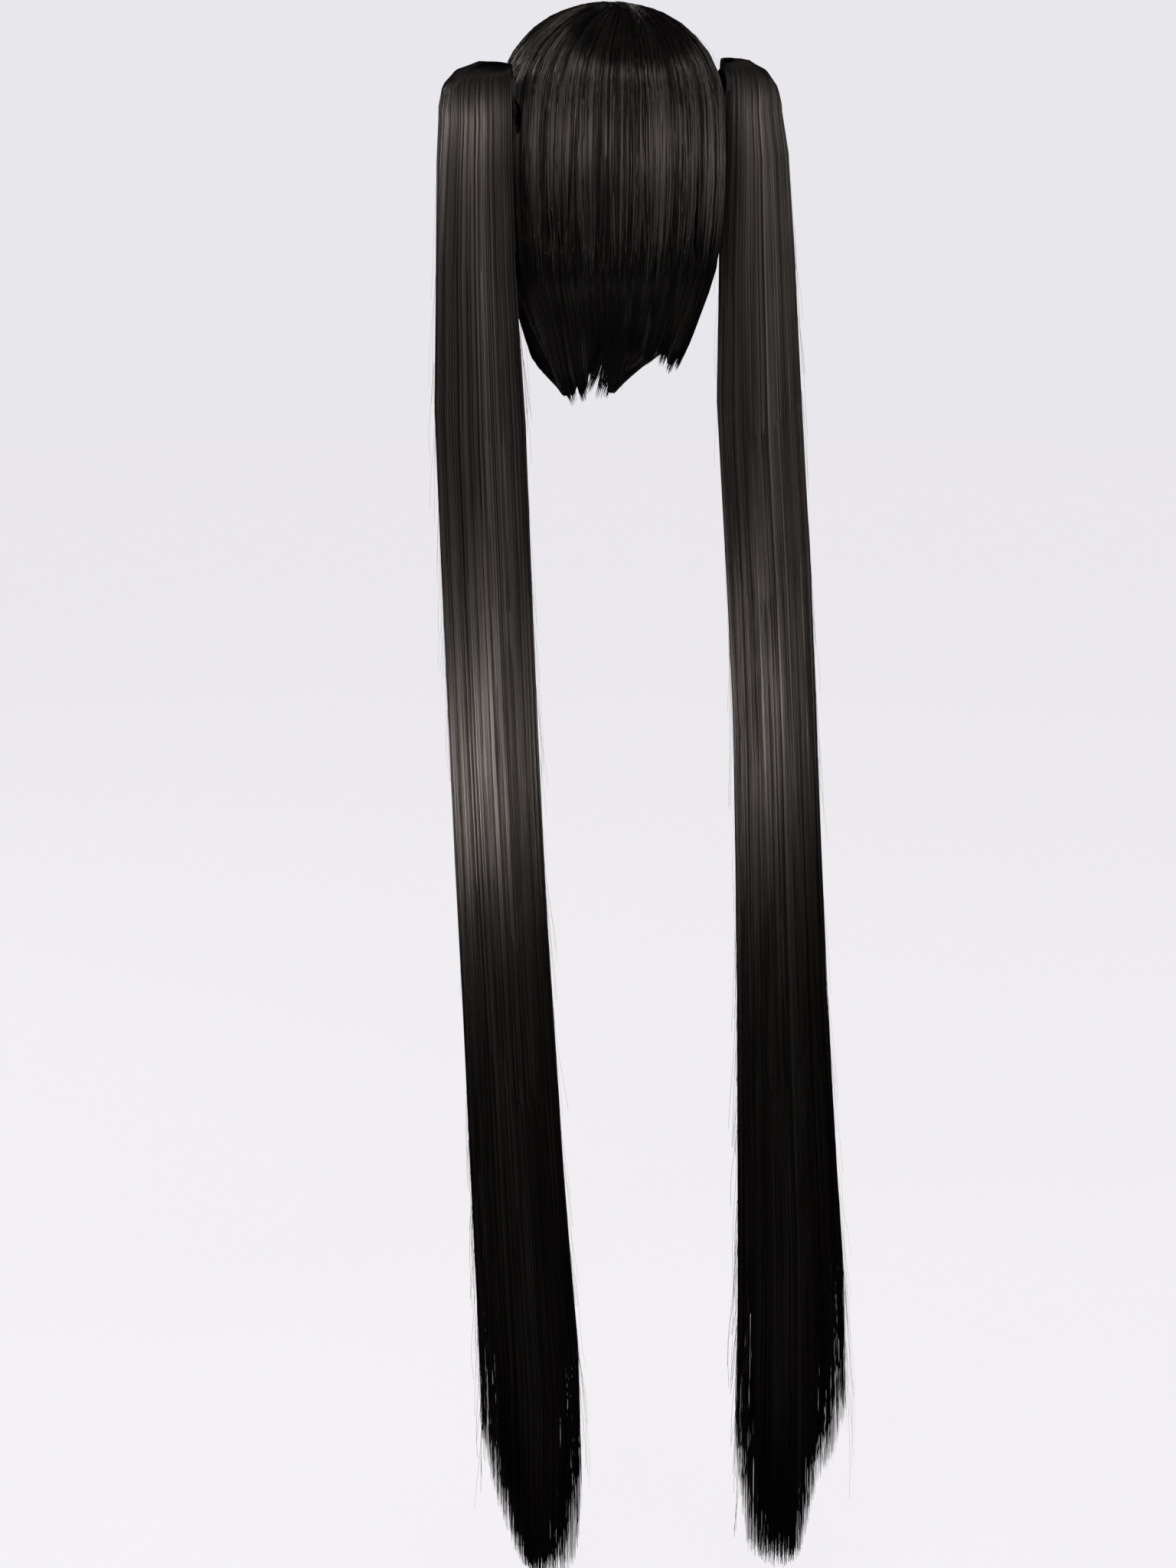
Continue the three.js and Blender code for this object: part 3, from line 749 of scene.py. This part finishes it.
@dataclass
class LowerHair(HairPiece):
    """A lower layer round part of the head: the back hair or the fringe."""

    layers: Layers
    node: str
    start: float
    end: float
    locks: int
    hem: Callable[[Array], Array]
    tip: float
    strands: int
    # Share of the tone that is kept: below 1 it is painted shade, and the strands take the duller copy
    shade: float = 1.0
    steps: int = 8
    thick: float = 0.00042

    def lock_shape(self, across: Array) -> tuple[Array, Array, Array]:
        """Give each share across: its lock's number, its middle and how near it is to the lock's side."""
        number = np.minimum(np.floor(across * self.locks), self.locks - 1).astype(int)
        middle = (number + 0.5) / self.locks
        return number, middle, np.abs(across - middle) * 2 * self.locks

    def top(self, angle: Array) -> Array:
        """Give the depth at which the layer begins, hidden under the crown layer."""
        return LAYER_TOP * self.layers.crown_hem_at(angle) + TOP_GAP

    def grow_at(self, angle: Array, depth: Array, hem: Array) -> Array:
        """Give the outer growth of the layer at a depth."""
        layers = self.layers
        clear = layers.crown_hem_at(angle) + layers.crown_tip * 0.6
        full = smooth(0, FILL_OUT, depth - clear) * (layers.lower_outside - layers.under_outside)
        thin = smooth(-FILL_OUT, 0, depth - hem) * (layers.lower_outside - layers.under_inside - 0.0040)
        return layers.under_outside + full - thin

    def body(self) -> Mesh:
        """Make the backing of the layer, just inside its strands."""

        def place(across: Array, down: Array) -> Array:
            angle = self.start + (self.end - self.start) * across
            number, _, side = self.lock_shape(across)
            hem = self.hem(across) + self.tip * (ragged(number) * (1 - side ** VALLEY_POWER) - 1.0)
            top = self.top(angle)
            depth = top + (hem - top) * down
            valley = self.layers.ridge * side ** VALLEY_POWER * down
            grow = self.grow_at(angle, depth, hem) - 0.0014 - valley
            return self.layers.head.point(angle, self.layers.head.station(depth), grow)

        return bent_sheet(self.node + "_body", 6 * self.locks, 22, place, 0.0018)

    def strand_lines(self, rng: Rng) -> StrandBatch:
        """Make the strands, from under the crown layer down to their uneven ends."""
        layers = self.layers
        batch = StrandBatch(HEAD_MIDDLE)
        count, steps = self.strands, self.steps
        clumps = 9 * self.locks
        along = steps_along(steps)
        across = rng.random(count)
        clump = np.floor(across * clumps).astype(int)
        number, middle, side = self.lock_shape(across)
        angle = self.start + (self.end - self.start) * across
        hem = self.hem(across)
        end = hem + self.tip * (ragged(number) * (1 - side ** 3) - 0.5)
        end = end - 0.018 * rng.random(count) ** 1.6 + rng.uniform(-0.002, 0.005, count)
        top = layers.crown_hem_at(angle) - 0.012
        depth = top[:, None] + (end - top)[:, None] * along
        width = self.end - self.start
        pull = 0.30 * smooth(0.55, 1, along) * ((middle - across) * width)[:, None]
        sway = 0.6 * drift(rng, clumps, along, 0.3, 1.0)[clump]
        sway = sway + 0.4 * drift(rng, count, along, 0.4, 1.6)
        turned = angle[:, None] + pull + sway * along
        level = rng.random(count)[:, None] ** 1.4
        outer = self.grow_at(turned, depth, hem[:, None])
        inner = layers.under_inside + 0.0006
        inwards = (outer - inner - 0.001) * 0.7 * level * smooth(0.5, 1, along)
        grow = outer - 0.0004 - 0.0012 * level - inwards - layers.ridge * side[:, None] ** VALLEY_POWER
        grow = grow + 0.0004 * drift(rng, clumps, along, 0.4, 1.4)[clump]
        # Painted shade where the layer's shade share is below 1
        tone = self.shade * shades(rng, clumps, clump)
        lines = layers.head.point(turned, layers.head.station(depth), grow)
        batch.add(lines, taper(steps, self.thick), tone, rolls(rng, count))
        return batch

    def strand_finish(self, finishes: Finishes) -> Material:
        """Give the finish of the strands: a duller copy where the layer is given painted shade."""
        return finishes.crown if self.shade == 1.0 else finishes.under


@dataclass
class BackHair(LowerHair):
    """Back hair, with the pointed locks of the ducktail at the nape."""

    reach: float = 0.060
    root_depth: float = 0.236
    ducktail_width: float = 0.013
    ducktail_thick: float = 0.005
    ducktail: Table = Table(
        [0, 1, 2, 3],
        root=[64, 68, 72, 76],
        tip=[46, 55, 62, 69],
        reach=[0.94, 1, 0.97, 0.9],
        width=[0.8, 1, 0.9, 0.8],
        thick=[0.8, 1, 1, 0.8],
    )

    def strand_lines(self, rng: Rng) -> StrandBatch:
        """Make the layer's strands and those of the ducktail."""
        batch = super().strand_lines(rng)
        count, steps = 300, 9
        along = steps_along(steps)
        lock = rng.integers(0, 4, count)
        rows = self.ducktail.columns.values()
        root, tip, reach, width, thick = (values[lock][:, None] for values in rows)
        share = along * (1.04 - 0.5 * rng.random(count)[:, None])
        depth = self.root_depth + self.reach * reach * share
        narrow = 1 - 0.88 * share ** 1.6
        side = rng.uniform(-1, 1, count)[:, None] * width * self.ducktail_width / 2 * narrow
        out = rng.uniform(-1, 1, count)[:, None] * thick * self.ducktail_thick / 2 * narrow
        angle = root + (tip - root + rng.normal(0, 2.2, count)[:, None]) * share ** 1.6
        middle = self.layers.under_inside + 0.0093 / 2
        station = self.layers.head.station(depth)
        turned = angle + np.degrees(side / 0.075) + 0.4 * drift(rng, count, along, 0.3, 1.2) * along
        lines = self.layers.head.point(turned, station, middle + out)
        # Painted shade on the ducktail too, by the layer's shade share
        tone = self.shade * rng.random(count)
        batch.add(lines, taper(steps, 0.7 * self.thick, tip=0.12), tone, rolls(rng, count))
        return batch


@dataclass
class SideLock(HairPiece):
    """Long lock in front of an ear: it flares, narrows and sweeps forwards to its tip."""

    layers: Layers
    name: str
    side: int
    strands: int = 760
    steps: int = 13
    depth: float = 0.312
    flare: float = 0.007
    turn: float = 9.5
    thick: float = 0.00040
    shape: Table = Table(
        [0, 0.45, 0.68, 0.86, 0.91, 0.965, 1],
        back=[0, 0, 1, 11, 28, 47, 58],
        front=[30, 31, 36, 48, 55, 60, 62],
        flare=[0, 0.1, 0.5, 1, 1, 0.95, 0.9],
    )

    @property
    def node(self) -> str:
        """Give the node that the lock replaces."""
        return "side_lock_" + self.name

    def angle(self, drop: Array, across: Array) -> Array:
        """Give degrees round the head, from the lock's back edge, 0, to its front edge, 1."""
        edges = self.shape.at("back", drop) * (1 - across) + self.shape.at("front", drop) * across
        ahead = self.turn + edges
        return -ahead if self.side > 0 else ahead - 180

    def outside(self, depth: Array) -> Array:
        """Give the outer growth at a depth."""
        layers = self.layers
        middle = self.angle(np.zeros_like(depth), np.full_like(depth, 0.5))
        clear = layers.crown_hem_at(middle) + layers.crown_tip
        full = smooth(0, FILL_OUT, depth - clear) * (layers.lower_outside - layers.under_outside)
        thin = smooth(0.9, 1, depth / self.depth) * 0.0045
        return layers.under_outside + full - thin + self.flare * self.shape.at("flare", depth / self.depth)

    def body(self) -> Mesh:
        """Make the backing of the lock, just inside its strands."""
        layers = self.layers

        def place(across: Array, down: Array) -> Array:
            root = self.angle(np.zeros_like(across), across)
            top = LAYER_TOP * layers.crown_hem_at(root) + TOP_GAP
            depth = top + (self.depth * 0.985 - top) * down
            inset = 0.04 + 0.92 * across
            angle = self.angle(depth / self.depth, inset)
            valley = layers.ridge * np.abs(np.mod(across * 3, 1) * 2 - 1) ** VALLEY_POWER
            grow = self.outside(depth) - 0.0014 - valley
            return layers.head.point(angle, layers.head.station(depth), grow)

        return bent_sheet(self.node + "_body", 24, 34, place, 0.0018)

    def strand_lines(self, rng: Rng) -> StrandBatch:
        """Make the strands, from under the crown layer down to the swept tip."""
        layers = self.layers
        batch = StrandBatch(HEAD_MIDDLE)
        count, steps = self.strands, self.steps
        clumps = 26
        along = steps_along(steps)
        across = rng.random(count)
        clump = np.floor(across * clumps).astype(int)
        root = self.angle(np.zeros(count), across)
        top = 0.9 * layers.crown_hem_at(root)
        end = self.depth * (0.90 + 0.10 * across ** 0.7) - 0.03 * rng.random(count) ** 3
        depth = top[:, None] + (end - top)[:, None] * along
        waver = 0.03 * drift(rng, clumps, along, 0.3, 1.0)[clump]
        waver = waver + 0.02 * drift(rng, count, along, 0.4, 1.6)
        spread = np.clip(across[:, None] + waver * along, -0.06, 1.06)
        angle = self.angle(depth / self.depth, spread)
        level = rng.random(count)[:, None]
        grow = self.outside(depth) - 0.0004 - 0.0012 * level - 0.0045 * level * smooth(0.4, 1, along)
        grow = grow - layers.ridge * np.abs(np.mod(across * 3, 1) * 2 - 1)[:, None] ** VALLEY_POWER
        lines = layers.head.point(angle, layers.head.station(depth), grow)
        # Painted shade: the lock darkens below the crown layer's hem, as the crown's lower part does
        tone = shades(rng, clumps, clump)[:, None] * (1 - 0.6 * smooth(0.13, 0.2, depth))
        batch.add(lines, taper(steps, self.thick), tone, rolls(rng, count))
        return batch


@dataclass
class Pigtail(HairPiece):
    """A long tail: a hump over its clip at the side of the head, then hanging straight to its lock ends."""

    name: str
    side: int
    hang: float
    width: float
    sway: float
    strands: int = 1600
    filling: int = 720
    locks: int = 10
    thick: float = 0.00050
    pivot: float = 0.003
    root_width: float = 0.059
    section_depth: float = 0.036
    bow: float = 0.038
    squareness: float = 2.5
    root_squareness: float = 4.5
    root_face: float = 0.0885
    root_back: float = 0.0145
    pivot_depth: float = 0.075
    clip_radius: float = 0.012
    fan: Table = Table(
        [0, 0.2, 0.4, 0.6, 0.8, 1],
        left=[0.722, 0.80, 0.915, 1.005, 1.015, 1],
        right=[0.86, 0.91, 0.967, 0.974, 0.974, 1],
    )
    shape: Table = Table(
        [0, 0.03, 0.07, 0.1, 0.155, 0.23, 0.35, 0.47, 0.6, 0.67, 0.74, 0.8, 0.87],
        bow=[0, 0, 0, 0, 0.01, 0.06, 0.27, 0.6, 0.92, 1, 1, 1, 1],
        depth=[1, 0.99, 0.97, 0.95, 0.93, 0.92, 0.92, 0.92, 0.93, 0.94, 0.95, 0.96, 0.97],
        left_sway=[0, 0, 0.01, 0.05, 0.1, 0.16, 0.25, 0.31, 0.44, 0.53, 0.67, 0.81, 0.96],
        left_width=[0, 0.05, 0.1, 0.21, 0.47, 0.53, 0.51, 0.51, 0.58, 0.64, 0.74, 0.83, 0.97],
        right_sway=[0, 0, 0, 0, 0.02, 0.22, 0.48, 0.54, 0.59, 0.7, 0.85, 0.97, 1],
        right_width=[0, 0.03, 0.07, 0.14, 0.28, 0.33, 0.3, 0.35, 0.48, 0.61, 0.76, 0.88, 0.99],
        left_inset=[0.0039, 0.0024, 0.001, 0.0005, 0, 0, 0, 0, 0, 0, 0, 0, 0],
        right_inset=[0.0133, 0.0069, 0.0025, 0.0014, 0.0012, 0, 0, 0, 0, 0, 0, 0, 0],
    )
    comb: Table = Table(
        [0, 0.12, 0.26, 0.42, 0.58, 0.74, 0.88, 1],
        out=[0, 0.03, 0.16, 0.46, 0.80, 0.97, 1, 1],
        rise=[0, 0.55, 0.90, 0.98, 0.93, 0.69, 0.34, 0],
        through=[0, 0.10, 0.34, 0.48, 0.68, 0.87, 0.97, 1],
    )
    tips: Table = Table(
        [-1, -0.92, -0.83, -0.75, -0.68, 0, 0.15, 0.28, 0.42, 0.65, 0.83, 1],
        left=[0.93, 0.965, 0.988, 0.993, 0.995, 0.997, 0.992, 0.98, 0.966, 0.94, 0.917, 0.893],
        right=[0.905, 0.923, 0.946, 0.969, 0.986, 0.99, 0.975, 0.953, 0.932, 0.922, 0.903, 0.885],
    )

    @property
    def node(self) -> str:
        """Give the node that the tail replaces."""
        return "pigtail_" + self.name

    def point(self, place: Array, inward: Array, back: Array) -> Array:
        """Give points of the tail.

        Args:
            place: From -1 at the clip over the hump to 0, then the share of the hang.
            inward: Place across the tail, from the head side, -1, to the outside, 1.
            back: Place through the tail, from -1 to 1.

        Returns:
            Points with a last axis of 3.
        """
        place, inward, back = np.broadcast_arrays(place, inward, back)
        near = np.minimum(np.abs(inward), 0.98)
        fuller = (1 - near ** self.root_squareness) ** (1 / self.root_squareness)
        fuller = fuller / (1 - near ** self.squareness) ** (1 / self.squareness)
        back = back * (1 + (fuller - 1) * (1 - smooth(0, 0.10, place)))
        out = self.pivot + self.root_span() / 2 * (1 + inward)
        made = self.combed(place + 1, out, inward, back)
        drop = np.maximum(place, 0)
        inset = self.shape.at(self.name + "_inset", drop)
        wider = (self.width - self.root_width) * self.shape.at(self.name + "_width", drop)
        width = self.root_width + wider - inset
        middle = self.side * (self.pivot + self.root_width / 2 - inset / 2)
        middle = middle + self.sway * self.shape.at(self.name + "_sway", drop)
        thick = self.section_depth / 2 * self.shape.at("depth", drop)
        hanging = triple(
            middle + self.side * width / 2 * inward,
            self.bow * self.shape.at("bow", drop) + thick * back,
            -self.hang * drop,
        )
        return np.where((place < 0)[..., None], made, hanging) + self.root()

    def root(self) -> Array:
        """Give the middle of the tail's root, at the side of the head."""
        return np.array([self.side * self.root_face, self.root_back, -self.pivot_depth])

    def root_span(self) -> float:
        """Give the width of the tail where it begins to hang."""
        return self.root_width - float(self.shape.at(self.name + "_inset", 0.0))

    def hump_top(self, out: Array) -> Array:
        """Give the height of the hump's outline at a distance out from the root."""
        turn = np.linspace(0, 1, 41)
        outer = self.pivot + self.root_span() * self.fan.at(self.name, turn)
        lean = turn * math.pi / 2
        return np.interp(out, outer * np.sin(lean), outer * np.cos(lean))

    def combed(self, turn: Array, out: Array, inward: Array, back: Array) -> Array:
        """Give points of strands over the hump: round the clip, up, along the top and down.

        Args:
            turn: From 0 at the clip to 1 where the strand hangs.
            out: Distance out from the root at which the strand hangs.
            inward: Place across the tail.
            back: Place through the tail.

        Returns:
            Points from the root.
        """
        away = out * self.comb.at("out", turn)
        height = self.hump_top(away)
        climb = self.comb.at("rise", turn)
        high = smooth(0.2, 1, inward) * smooth(0.2, 0.45, turn) * (1 - smooth(0.7, 1, turn))
        climb = climb + (1 - climb) * high
        spread = self.comb.at("through", turn)
        wrap = self.clip_radius * 1.1
        start = 1 - smooth(0, 0.26, turn)
        lean = math.pi * 0.38 * inward
        hand = np.sign(back)
        return triple(
            self.side * (away - 0.003 * (1 - smooth(0, 0.12, turn))),
            (1 - start) * self.section_depth / 2 * back * spread + start * wrap * np.cos(lean) * hand,
            (1 - start) * height * climb + start * wrap * np.sin(lean),
        )

    def core(self, place: Array, inward: Array, back: Array) -> Array:
        """Give points of the core, which turns over the hump as one fan, then hangs."""
        place, inward, back = np.broadcast_arrays(place, inward, back)
        turn = np.clip(place + 1, 0, 1)
        lean = turn * math.pi / 2
        out = self.pivot + self.root_span() / 2 * self.fan.at(self.name, turn) * (1 + inward)
        middle = self.section_depth / 2 * back
        hump = triple(self.side * out * np.sin(lean), middle, out * np.cos(lean)) + self.root()
        hanging = self.point(np.maximum(place, 0), inward, back)
        return np.where((place < 0)[..., None], hump, hanging)

    def oval(self, angle: Array) -> tuple[Array, Array]:
        """Give the two places of an angle on the squarish section."""
        power = 2 / self.squareness
        places = (np.cos(angle), np.sin(angle))
        return tuple(np.sign(place) * np.abs(place) ** power for place in places)

    def body(self) -> Mesh:
        """Make the core of the tail, just inside its strands, tapering within the lock ends."""
        humped = np.linspace(-1, 0, 12)[:-1]
        places = np.concatenate([humped, np.linspace(0, 0.90, 34)])

        def place(across: Array, down: Array) -> Array:
            at = np.interp(down, np.linspace(0, 1, len(places)), places)
            one, two = self.oval(TURN * across)
            lock = np.abs(np.mod(across * self.locks, 1) * 2 - 1) ** VALLEY_POWER
            size = 0.93 - 0.03 * lock * smooth(-1, 0, at) - 0.55 * smooth(0.76, 0.90, at)
            size = size - 0.40 * (1 - smooth(-0.7, 0.02, at))
            return self.core(at, one * size, two * size)

        return bent_sheet(self.node + "_body", 90, len(places) - 1, place, 0, closed_ends=True)

    def section(self, rng: Rng, count: int) -> Array:
        """Give angles that spread strands evenly round the section."""
        fine = np.linspace(0, TURN, 721)
        one, two = self.oval(fine)
        length = np.concatenate([[0], np.cumsum(np.hypot(np.diff(one) * 0.042, np.diff(two) * 0.018))])
        return np.interp(rng.random(count) * length[-1], length, fine)

    def ends(self, rng: Rng, inward: Array, lock: Array) -> Array:
        """Give the share of the hang at which strands end."""
        share = self.tips.at(self.name, inward) - 0.003 * ragged(lock)
        return share - 0.045 * rng.random(len(inward)) ** 4 + rng.uniform(-0.005, 0.005, len(inward))

    def strand_lines(self, rng: Rng) -> StrandBatch:
        """Make the outer strands, the filling of the lock ends and the loose hairs."""
        batch = StrandBatch((self.side * 0.11, 0.03, 0.1))
        clumps = 200
        count = self.strands
        angle = self.section(rng, count)
        clump = np.floor(angle / TURN * clumps).astype(int) % clumps
        lock = np.floor(angle / TURN * self.locks).astype(int) % self.locks
        one, two = self.oval(angle)
        end = self.ends(rng, one, lock)
        humped = np.array([-1, -0.88, -0.74, -0.58, -0.42, -0.27, -0.13])
        along = np.concatenate([humped, [0, 0.03], np.linspace(0.10, 1, 9)])
        place = np.where(along[None] < 0, along[None], along[None] * end[:, None])
        middle_one, middle_two = self.oval((lock + 0.5) / self.locks * TURN)
        level = rng.random(count)[:, None] ** 1.6
        near_side = np.abs(np.mod(angle / TURN * self.locks, 1) * 2 - 1)[:, None] ** VALLEY_POWER
        size = 0.995 - 0.045 * level - 0.02 * near_side * smooth(-1, 0, place)
        gather = 0.10 * smooth(0.86, 1, place)
        inward = (one[:, None] * (1 - gather) + middle_one[:, None] * gather * 0.9) * size
        back = (two[:, None] * (1 - gather) + middle_two[:, None] * gather * 0.9) * size
        loose = smooth(-0.2, 0.5, place)
        waver = drift(rng, clumps, place[:clumps], 1.0, 3.0)[clump]
        inward = inward + (0.008 * waver + 0.006 * drift(rng, count, place, 1.0, 3.0)) * (0.1 + 0.9 * loose)
        back = back + (0.025 * drift(rng, clumps, place[:clumps], 1.0, 3.0)[clump]) * loose
        lines = self.point(place, inward, back)
        # Painted shade: strands are darker over the clip and the top of the hump, lighter where they hang
        tone = shades(rng, clumps, clump)[:, None] * (0.1 + 0.9 * smooth(-0.42, 0.02, place))
        thick = taper(len(along), self.thick, 0.8, 0.2)
        batch.add(lines, thick, tone, rolls(rng, count), self.core(place, 0, 0))
        self.fill_ends(rng, batch)
        self.flyaways(rng, batch)
        return batch

    def fill_ends(self, rng: Rng, batch: StrandBatch) -> None:
        """Add the strands inside the lock ends, which start within the core."""
        count, steps = self.filling, 6
        angle = self.section(rng, count)
        lock = np.floor(angle / TURN * self.locks).astype(int) % self.locks
        one, two = self.oval(angle)
        size = rng.random(count) ** 0.5 * 0.92
        end = self.ends(rng, one * size, lock)
        start = rng.uniform(0.72, 0.80, count)
        along = steps_along(steps)
        place = start[:, None] + (end - start)[:, None] * along
        waver = 0.02 * drift(rng, count, along, 0.4, 1.4)
        inward = (one * size)[:, None] + waver
        back = (two * size)[:, None] + 0.05 * drift(rng, count, along, 0.4, 1.4)
        lines = self.point(place, inward, back)
        thick = taper(steps, self.thick, 0.8, 0.3)
        batch.add(lines, thick, rng.random(count), rolls(rng, count), self.core(place, 0, 0))

    def flyaways(self, rng: Rng, batch: StrandBatch) -> None:
        """Add single loose hairs along the two edges, closer together near the lock ends."""
        count, steps = 200, 8
        along = steps_along(steps)
        high = rng.random(count) < 0.6
        start = np.where(high, rng.uniform(0.03, 0.70, count), rng.uniform(0.70, 0.84, count))[:, None]
        place = start + rng.uniform(0.05, 0.14, count)[:, None] * along
        edge = np.where(rng.random(count) < 0.5, 1, -1)[:, None]
        reach = rng.uniform(0.02, 0.16, count)[:, None] * smooth(0, 1, along)
        inward = edge * (0.93 + reach) + 0.03 * drift(rng, count, along, 0.4, 1.2) * along
        back = rng.uniform(-0.8, 0.8, count)[:, None] + 0.2 * drift(rng, count, along, 0.4, 1.2) * along
        batch.add(self.point(place, inward, back), 0.00012, 0.3 * rng.random(count), rolls(rng, count))

    def strand_finish(self, finishes: Finishes) -> Material:
        """Give the finish of the strands."""
        return finishes.tail


class Studio:
    """Pale floor, soft lights and the camera behind the wig."""

    turn = math.radians(20.0)
    distance = 3.5
    height = 0.22
    pitch = math.radians(13.571)
    yaw = math.radians(0.302)
    lens = 99.95
    film = 36.0
    floor_level = -1.345
    floor_radius = 6.4
    tint = (1.0, 0.985, 0.97)

    def camera(self) -> None:
        """Place the camera by its measured distance, height and angles."""
        behind = Vector((math.sin(self.turn), math.cos(self.turn), 0))
        level = -behind
        right = level.cross(Vector((0, 0, 1)))
        level = level * math.cos(self.yaw) - right * math.sin(self.yaw)
        right = level.cross(Vector((0, 0, 1)))
        ahead = level * math.cos(self.pitch) - Vector((0, 0, 1)) * math.sin(self.pitch)
        above = right.cross(ahead)
        data = bpy.data.cameras.new("camera")
        data.sensor_fit = "VERTICAL"
        data.sensor_height = self.film
        data.sensor_width = self.film
        data.lens = self.lens
        seen = bpy.data.objects.new("camera", data)
        turned = Matrix((right, above, -ahead)).transposed().to_4x4()
        stand = behind * self.distance + Vector((0, 0, self.height))
        seen.matrix_world = Matrix.Translation(stand) @ turned
        bpy.context.scene.collection.objects.link(seen)
        bpy.context.scene.camera = seen

    def floor(self) -> None:
        """Lay the floor, a wide pale disc."""
        shaped = bmesh.new()
        bmesh.ops.create_circle(shaped, cap_ends=True, segments=96, radius=self.floor_radius)
        bmesh.ops.translate(shaped, verts=shaped.verts, vec=(0, 0, self.floor_level))
        mesh = bpy.data.meshes.new("floor")
        shaped.to_mesh(mesh)
        shaped.free()
        sheet = NodeSheet("floor_pale")
        pale = sheet.finish({
            "Base Color": (0.05, 0.05, 0.05),
            "Roughness": 1.0,
            "Specular IOR Level": 0.0,
            "Emission Color": (0.768, 0.755, 0.783),
            "Emission Strength": 1.0,
        })
        mesh.materials.append(pale)
        floor = bpy.data.objects.new("floor", mesh)
        bpy.context.scene.collection.objects.link(floor)
        floor.visible_glossy = False

    def light(
        self,
        name: str,
        place: Colour,
        aim: Colour,
        size: tuple[float, float],
        power: float,
        roll: float = 0.0,
    ) -> None:
        """Hang one softbox.

        Args:
            name: Its name.
            place: Where it hangs.
            aim: The point that it faces.
            size: Its width and height.
            power: Its watts.
            roll: Its turn round its own axis, in degrees.
        """
        data = bpy.data.lights.new(name, "AREA")
        data.shape = "RECTANGLE"
        data.size, data.size_y = size
        data.energy = power
        data.color = self.tint
        lamp = bpy.data.objects.new(name, data)
        lamp.visible_camera = False
        lamp.location = place
        turned = (Vector(aim) - Vector(place)).to_track_quat("-Z", "Y")
        lamp.rotation_euler = (turned @ Quaternion((0, 0, 1), math.radians(roll))).to_euler()
        bpy.context.scene.collection.objects.link(lamp)

    def world(self) -> None:
        """Give the room its pale cool light."""
        world = bpy.data.worlds.new("room")
        world.use_nodes = True
        shade = world.node_tree.nodes["Background"]
        shade.inputs["Color"].default_value = (0.807, 0.799, 0.831, 1)
        world.cycles_visibility.glossy = False
        bpy.context.scene.world = world

    def build(self) -> None:
        """Set up the whole studio."""
        self.camera()
        self.floor()
        self.world()
        self.light("softbox_behind", (0.75, 2.9, 1.0), (0, 0, 1.0), (3.0, 2.8), 132)
        self.light("softbox_above", (0.4, 1.9, 2.3), (0, 0, 0), (2.4, 0.9), 78)
        self.light("strip_low_left", (0.48, 0.50, -0.665), (0.1, 0, -0.665), (0.5, 0.12), 5.6, 15)
        self.light("strip_low_right", (-0.34, 0.54, -0.575), (-0.1, 0, -0.575), (0.5, 0.12), 0.7)
        self.light("strip_middle", (-0.30, 0.56, -0.32), (-0.1, 0, -0.32), (0.6, 0.20), 1.2)
        self.light("strip_left", (0.50, 0.50, -0.09), (0.12, 0.04, -0.12), (0.5, 0.08), 1.75)
        self.light("strip_right", (-0.42, 0.58, -0.14), (-0.12, 0.04, -0.14), (0.5, 0.12), 1.6)
        self.light("softbox_face", (1.9, -2.3, 0.6), (0, 0, -0.1), (1.6, 1.6), 130)
        self.light("strip_face", (0.35, -0.70, -0.12), (0, 0, -0.12), (0.6, 0.10), 1.6)
        self.light("strip_face_low", (0.1, -0.95, -0.75), (0, 0, -0.70), (1.2, 0.20), 5)
        self.light("softbox_left", (3.2, -0.6, 0.3), (0, 0, 0), (2.0, 2.0), 30)
        self.light("softbox_right", (-3.2, -0.6, 0.3), (0, 0, 0), (2.0, 2.0), 45)
        view = bpy.context.scene.view_settings
        view.view_transform = "Standard"
        view.look = "None"


@dataclass
class Wig:
    """The whole wig: its cap and clips, which keep their solids, and every hair piece."""

    layers: Layers = Layers()

    def back_hem(self, across: Array) -> Array:
        """Give the depth of the nape edge across the back hair."""
        edge = Table(
            [0, 0.09, 0.17, 0.24, 0.3, 0.36, 0.46, 0.6, 0.78, 0.9, 1],
            drop=[0.9, 1.03, 1.1, 1.08, 1.04, 0.96, 0.945, 0.985, 1, 0.99, 0.93],
        )
        return 0.272 * edge.at("drop", across)

    def fringe_hem(self, across: Array) -> Array:
        """Give the depth of the fringe's edge across the forehead."""
        return 0.1085 + 0.008 * (2 * across - 1) ** 2

    def finish_node(self, node: str, material: Material) -> None:
        """Give a node of the frame its finish."""
        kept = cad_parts[node]
        kept.data.materials.clear()
        kept.data.materials.append(material)
        LOG.info("%s: kept as it is, with the finish %s", node, material.name)

    def build(self) -> None:
        """Build and dress every piece, in order."""
        finishes = Finishes.build()
        self.finish_node("wig_cap", finishes.net)
        for clip in ("tail_clip_left", "tail_clip_right"):
            self.finish_node(clip, finishes.plastic)
        CrownHair(self.layers).build(finishes, 11)
        # The back hair keeps 0.35 of its tone: painted shade under the crown layer
        back = BackHair(self.layers, "back_hair", -8, 188, 14, self.back_hem, 0.011, 2300, 0.35)
        back.build(finishes, 12)
        fringe = LowerHair(self.layers, "bangs", -138, -42, 9, self.fringe_hem, 0.009, 1000)
        fringe.build(finishes, 13)
        SideLock(self.layers, "left", 1).build(finishes, 14)
        SideLock(self.layers, "right", -1).build(finishes, 15)
        Pigtail("left", 1, 1.218, 0.088, -0.034).build(finishes, 16)
        Pigtail("right", -1, 1.245, 0.101, -0.025).build(finishes, 17)


def main() -> None:
    """Build the studio and the wig."""
    logging.basicConfig(level=logging.INFO, format="%(name)s %(message)s")
    Studio().build()
    Wig().build()


if __name__ == "__main__":
    main()
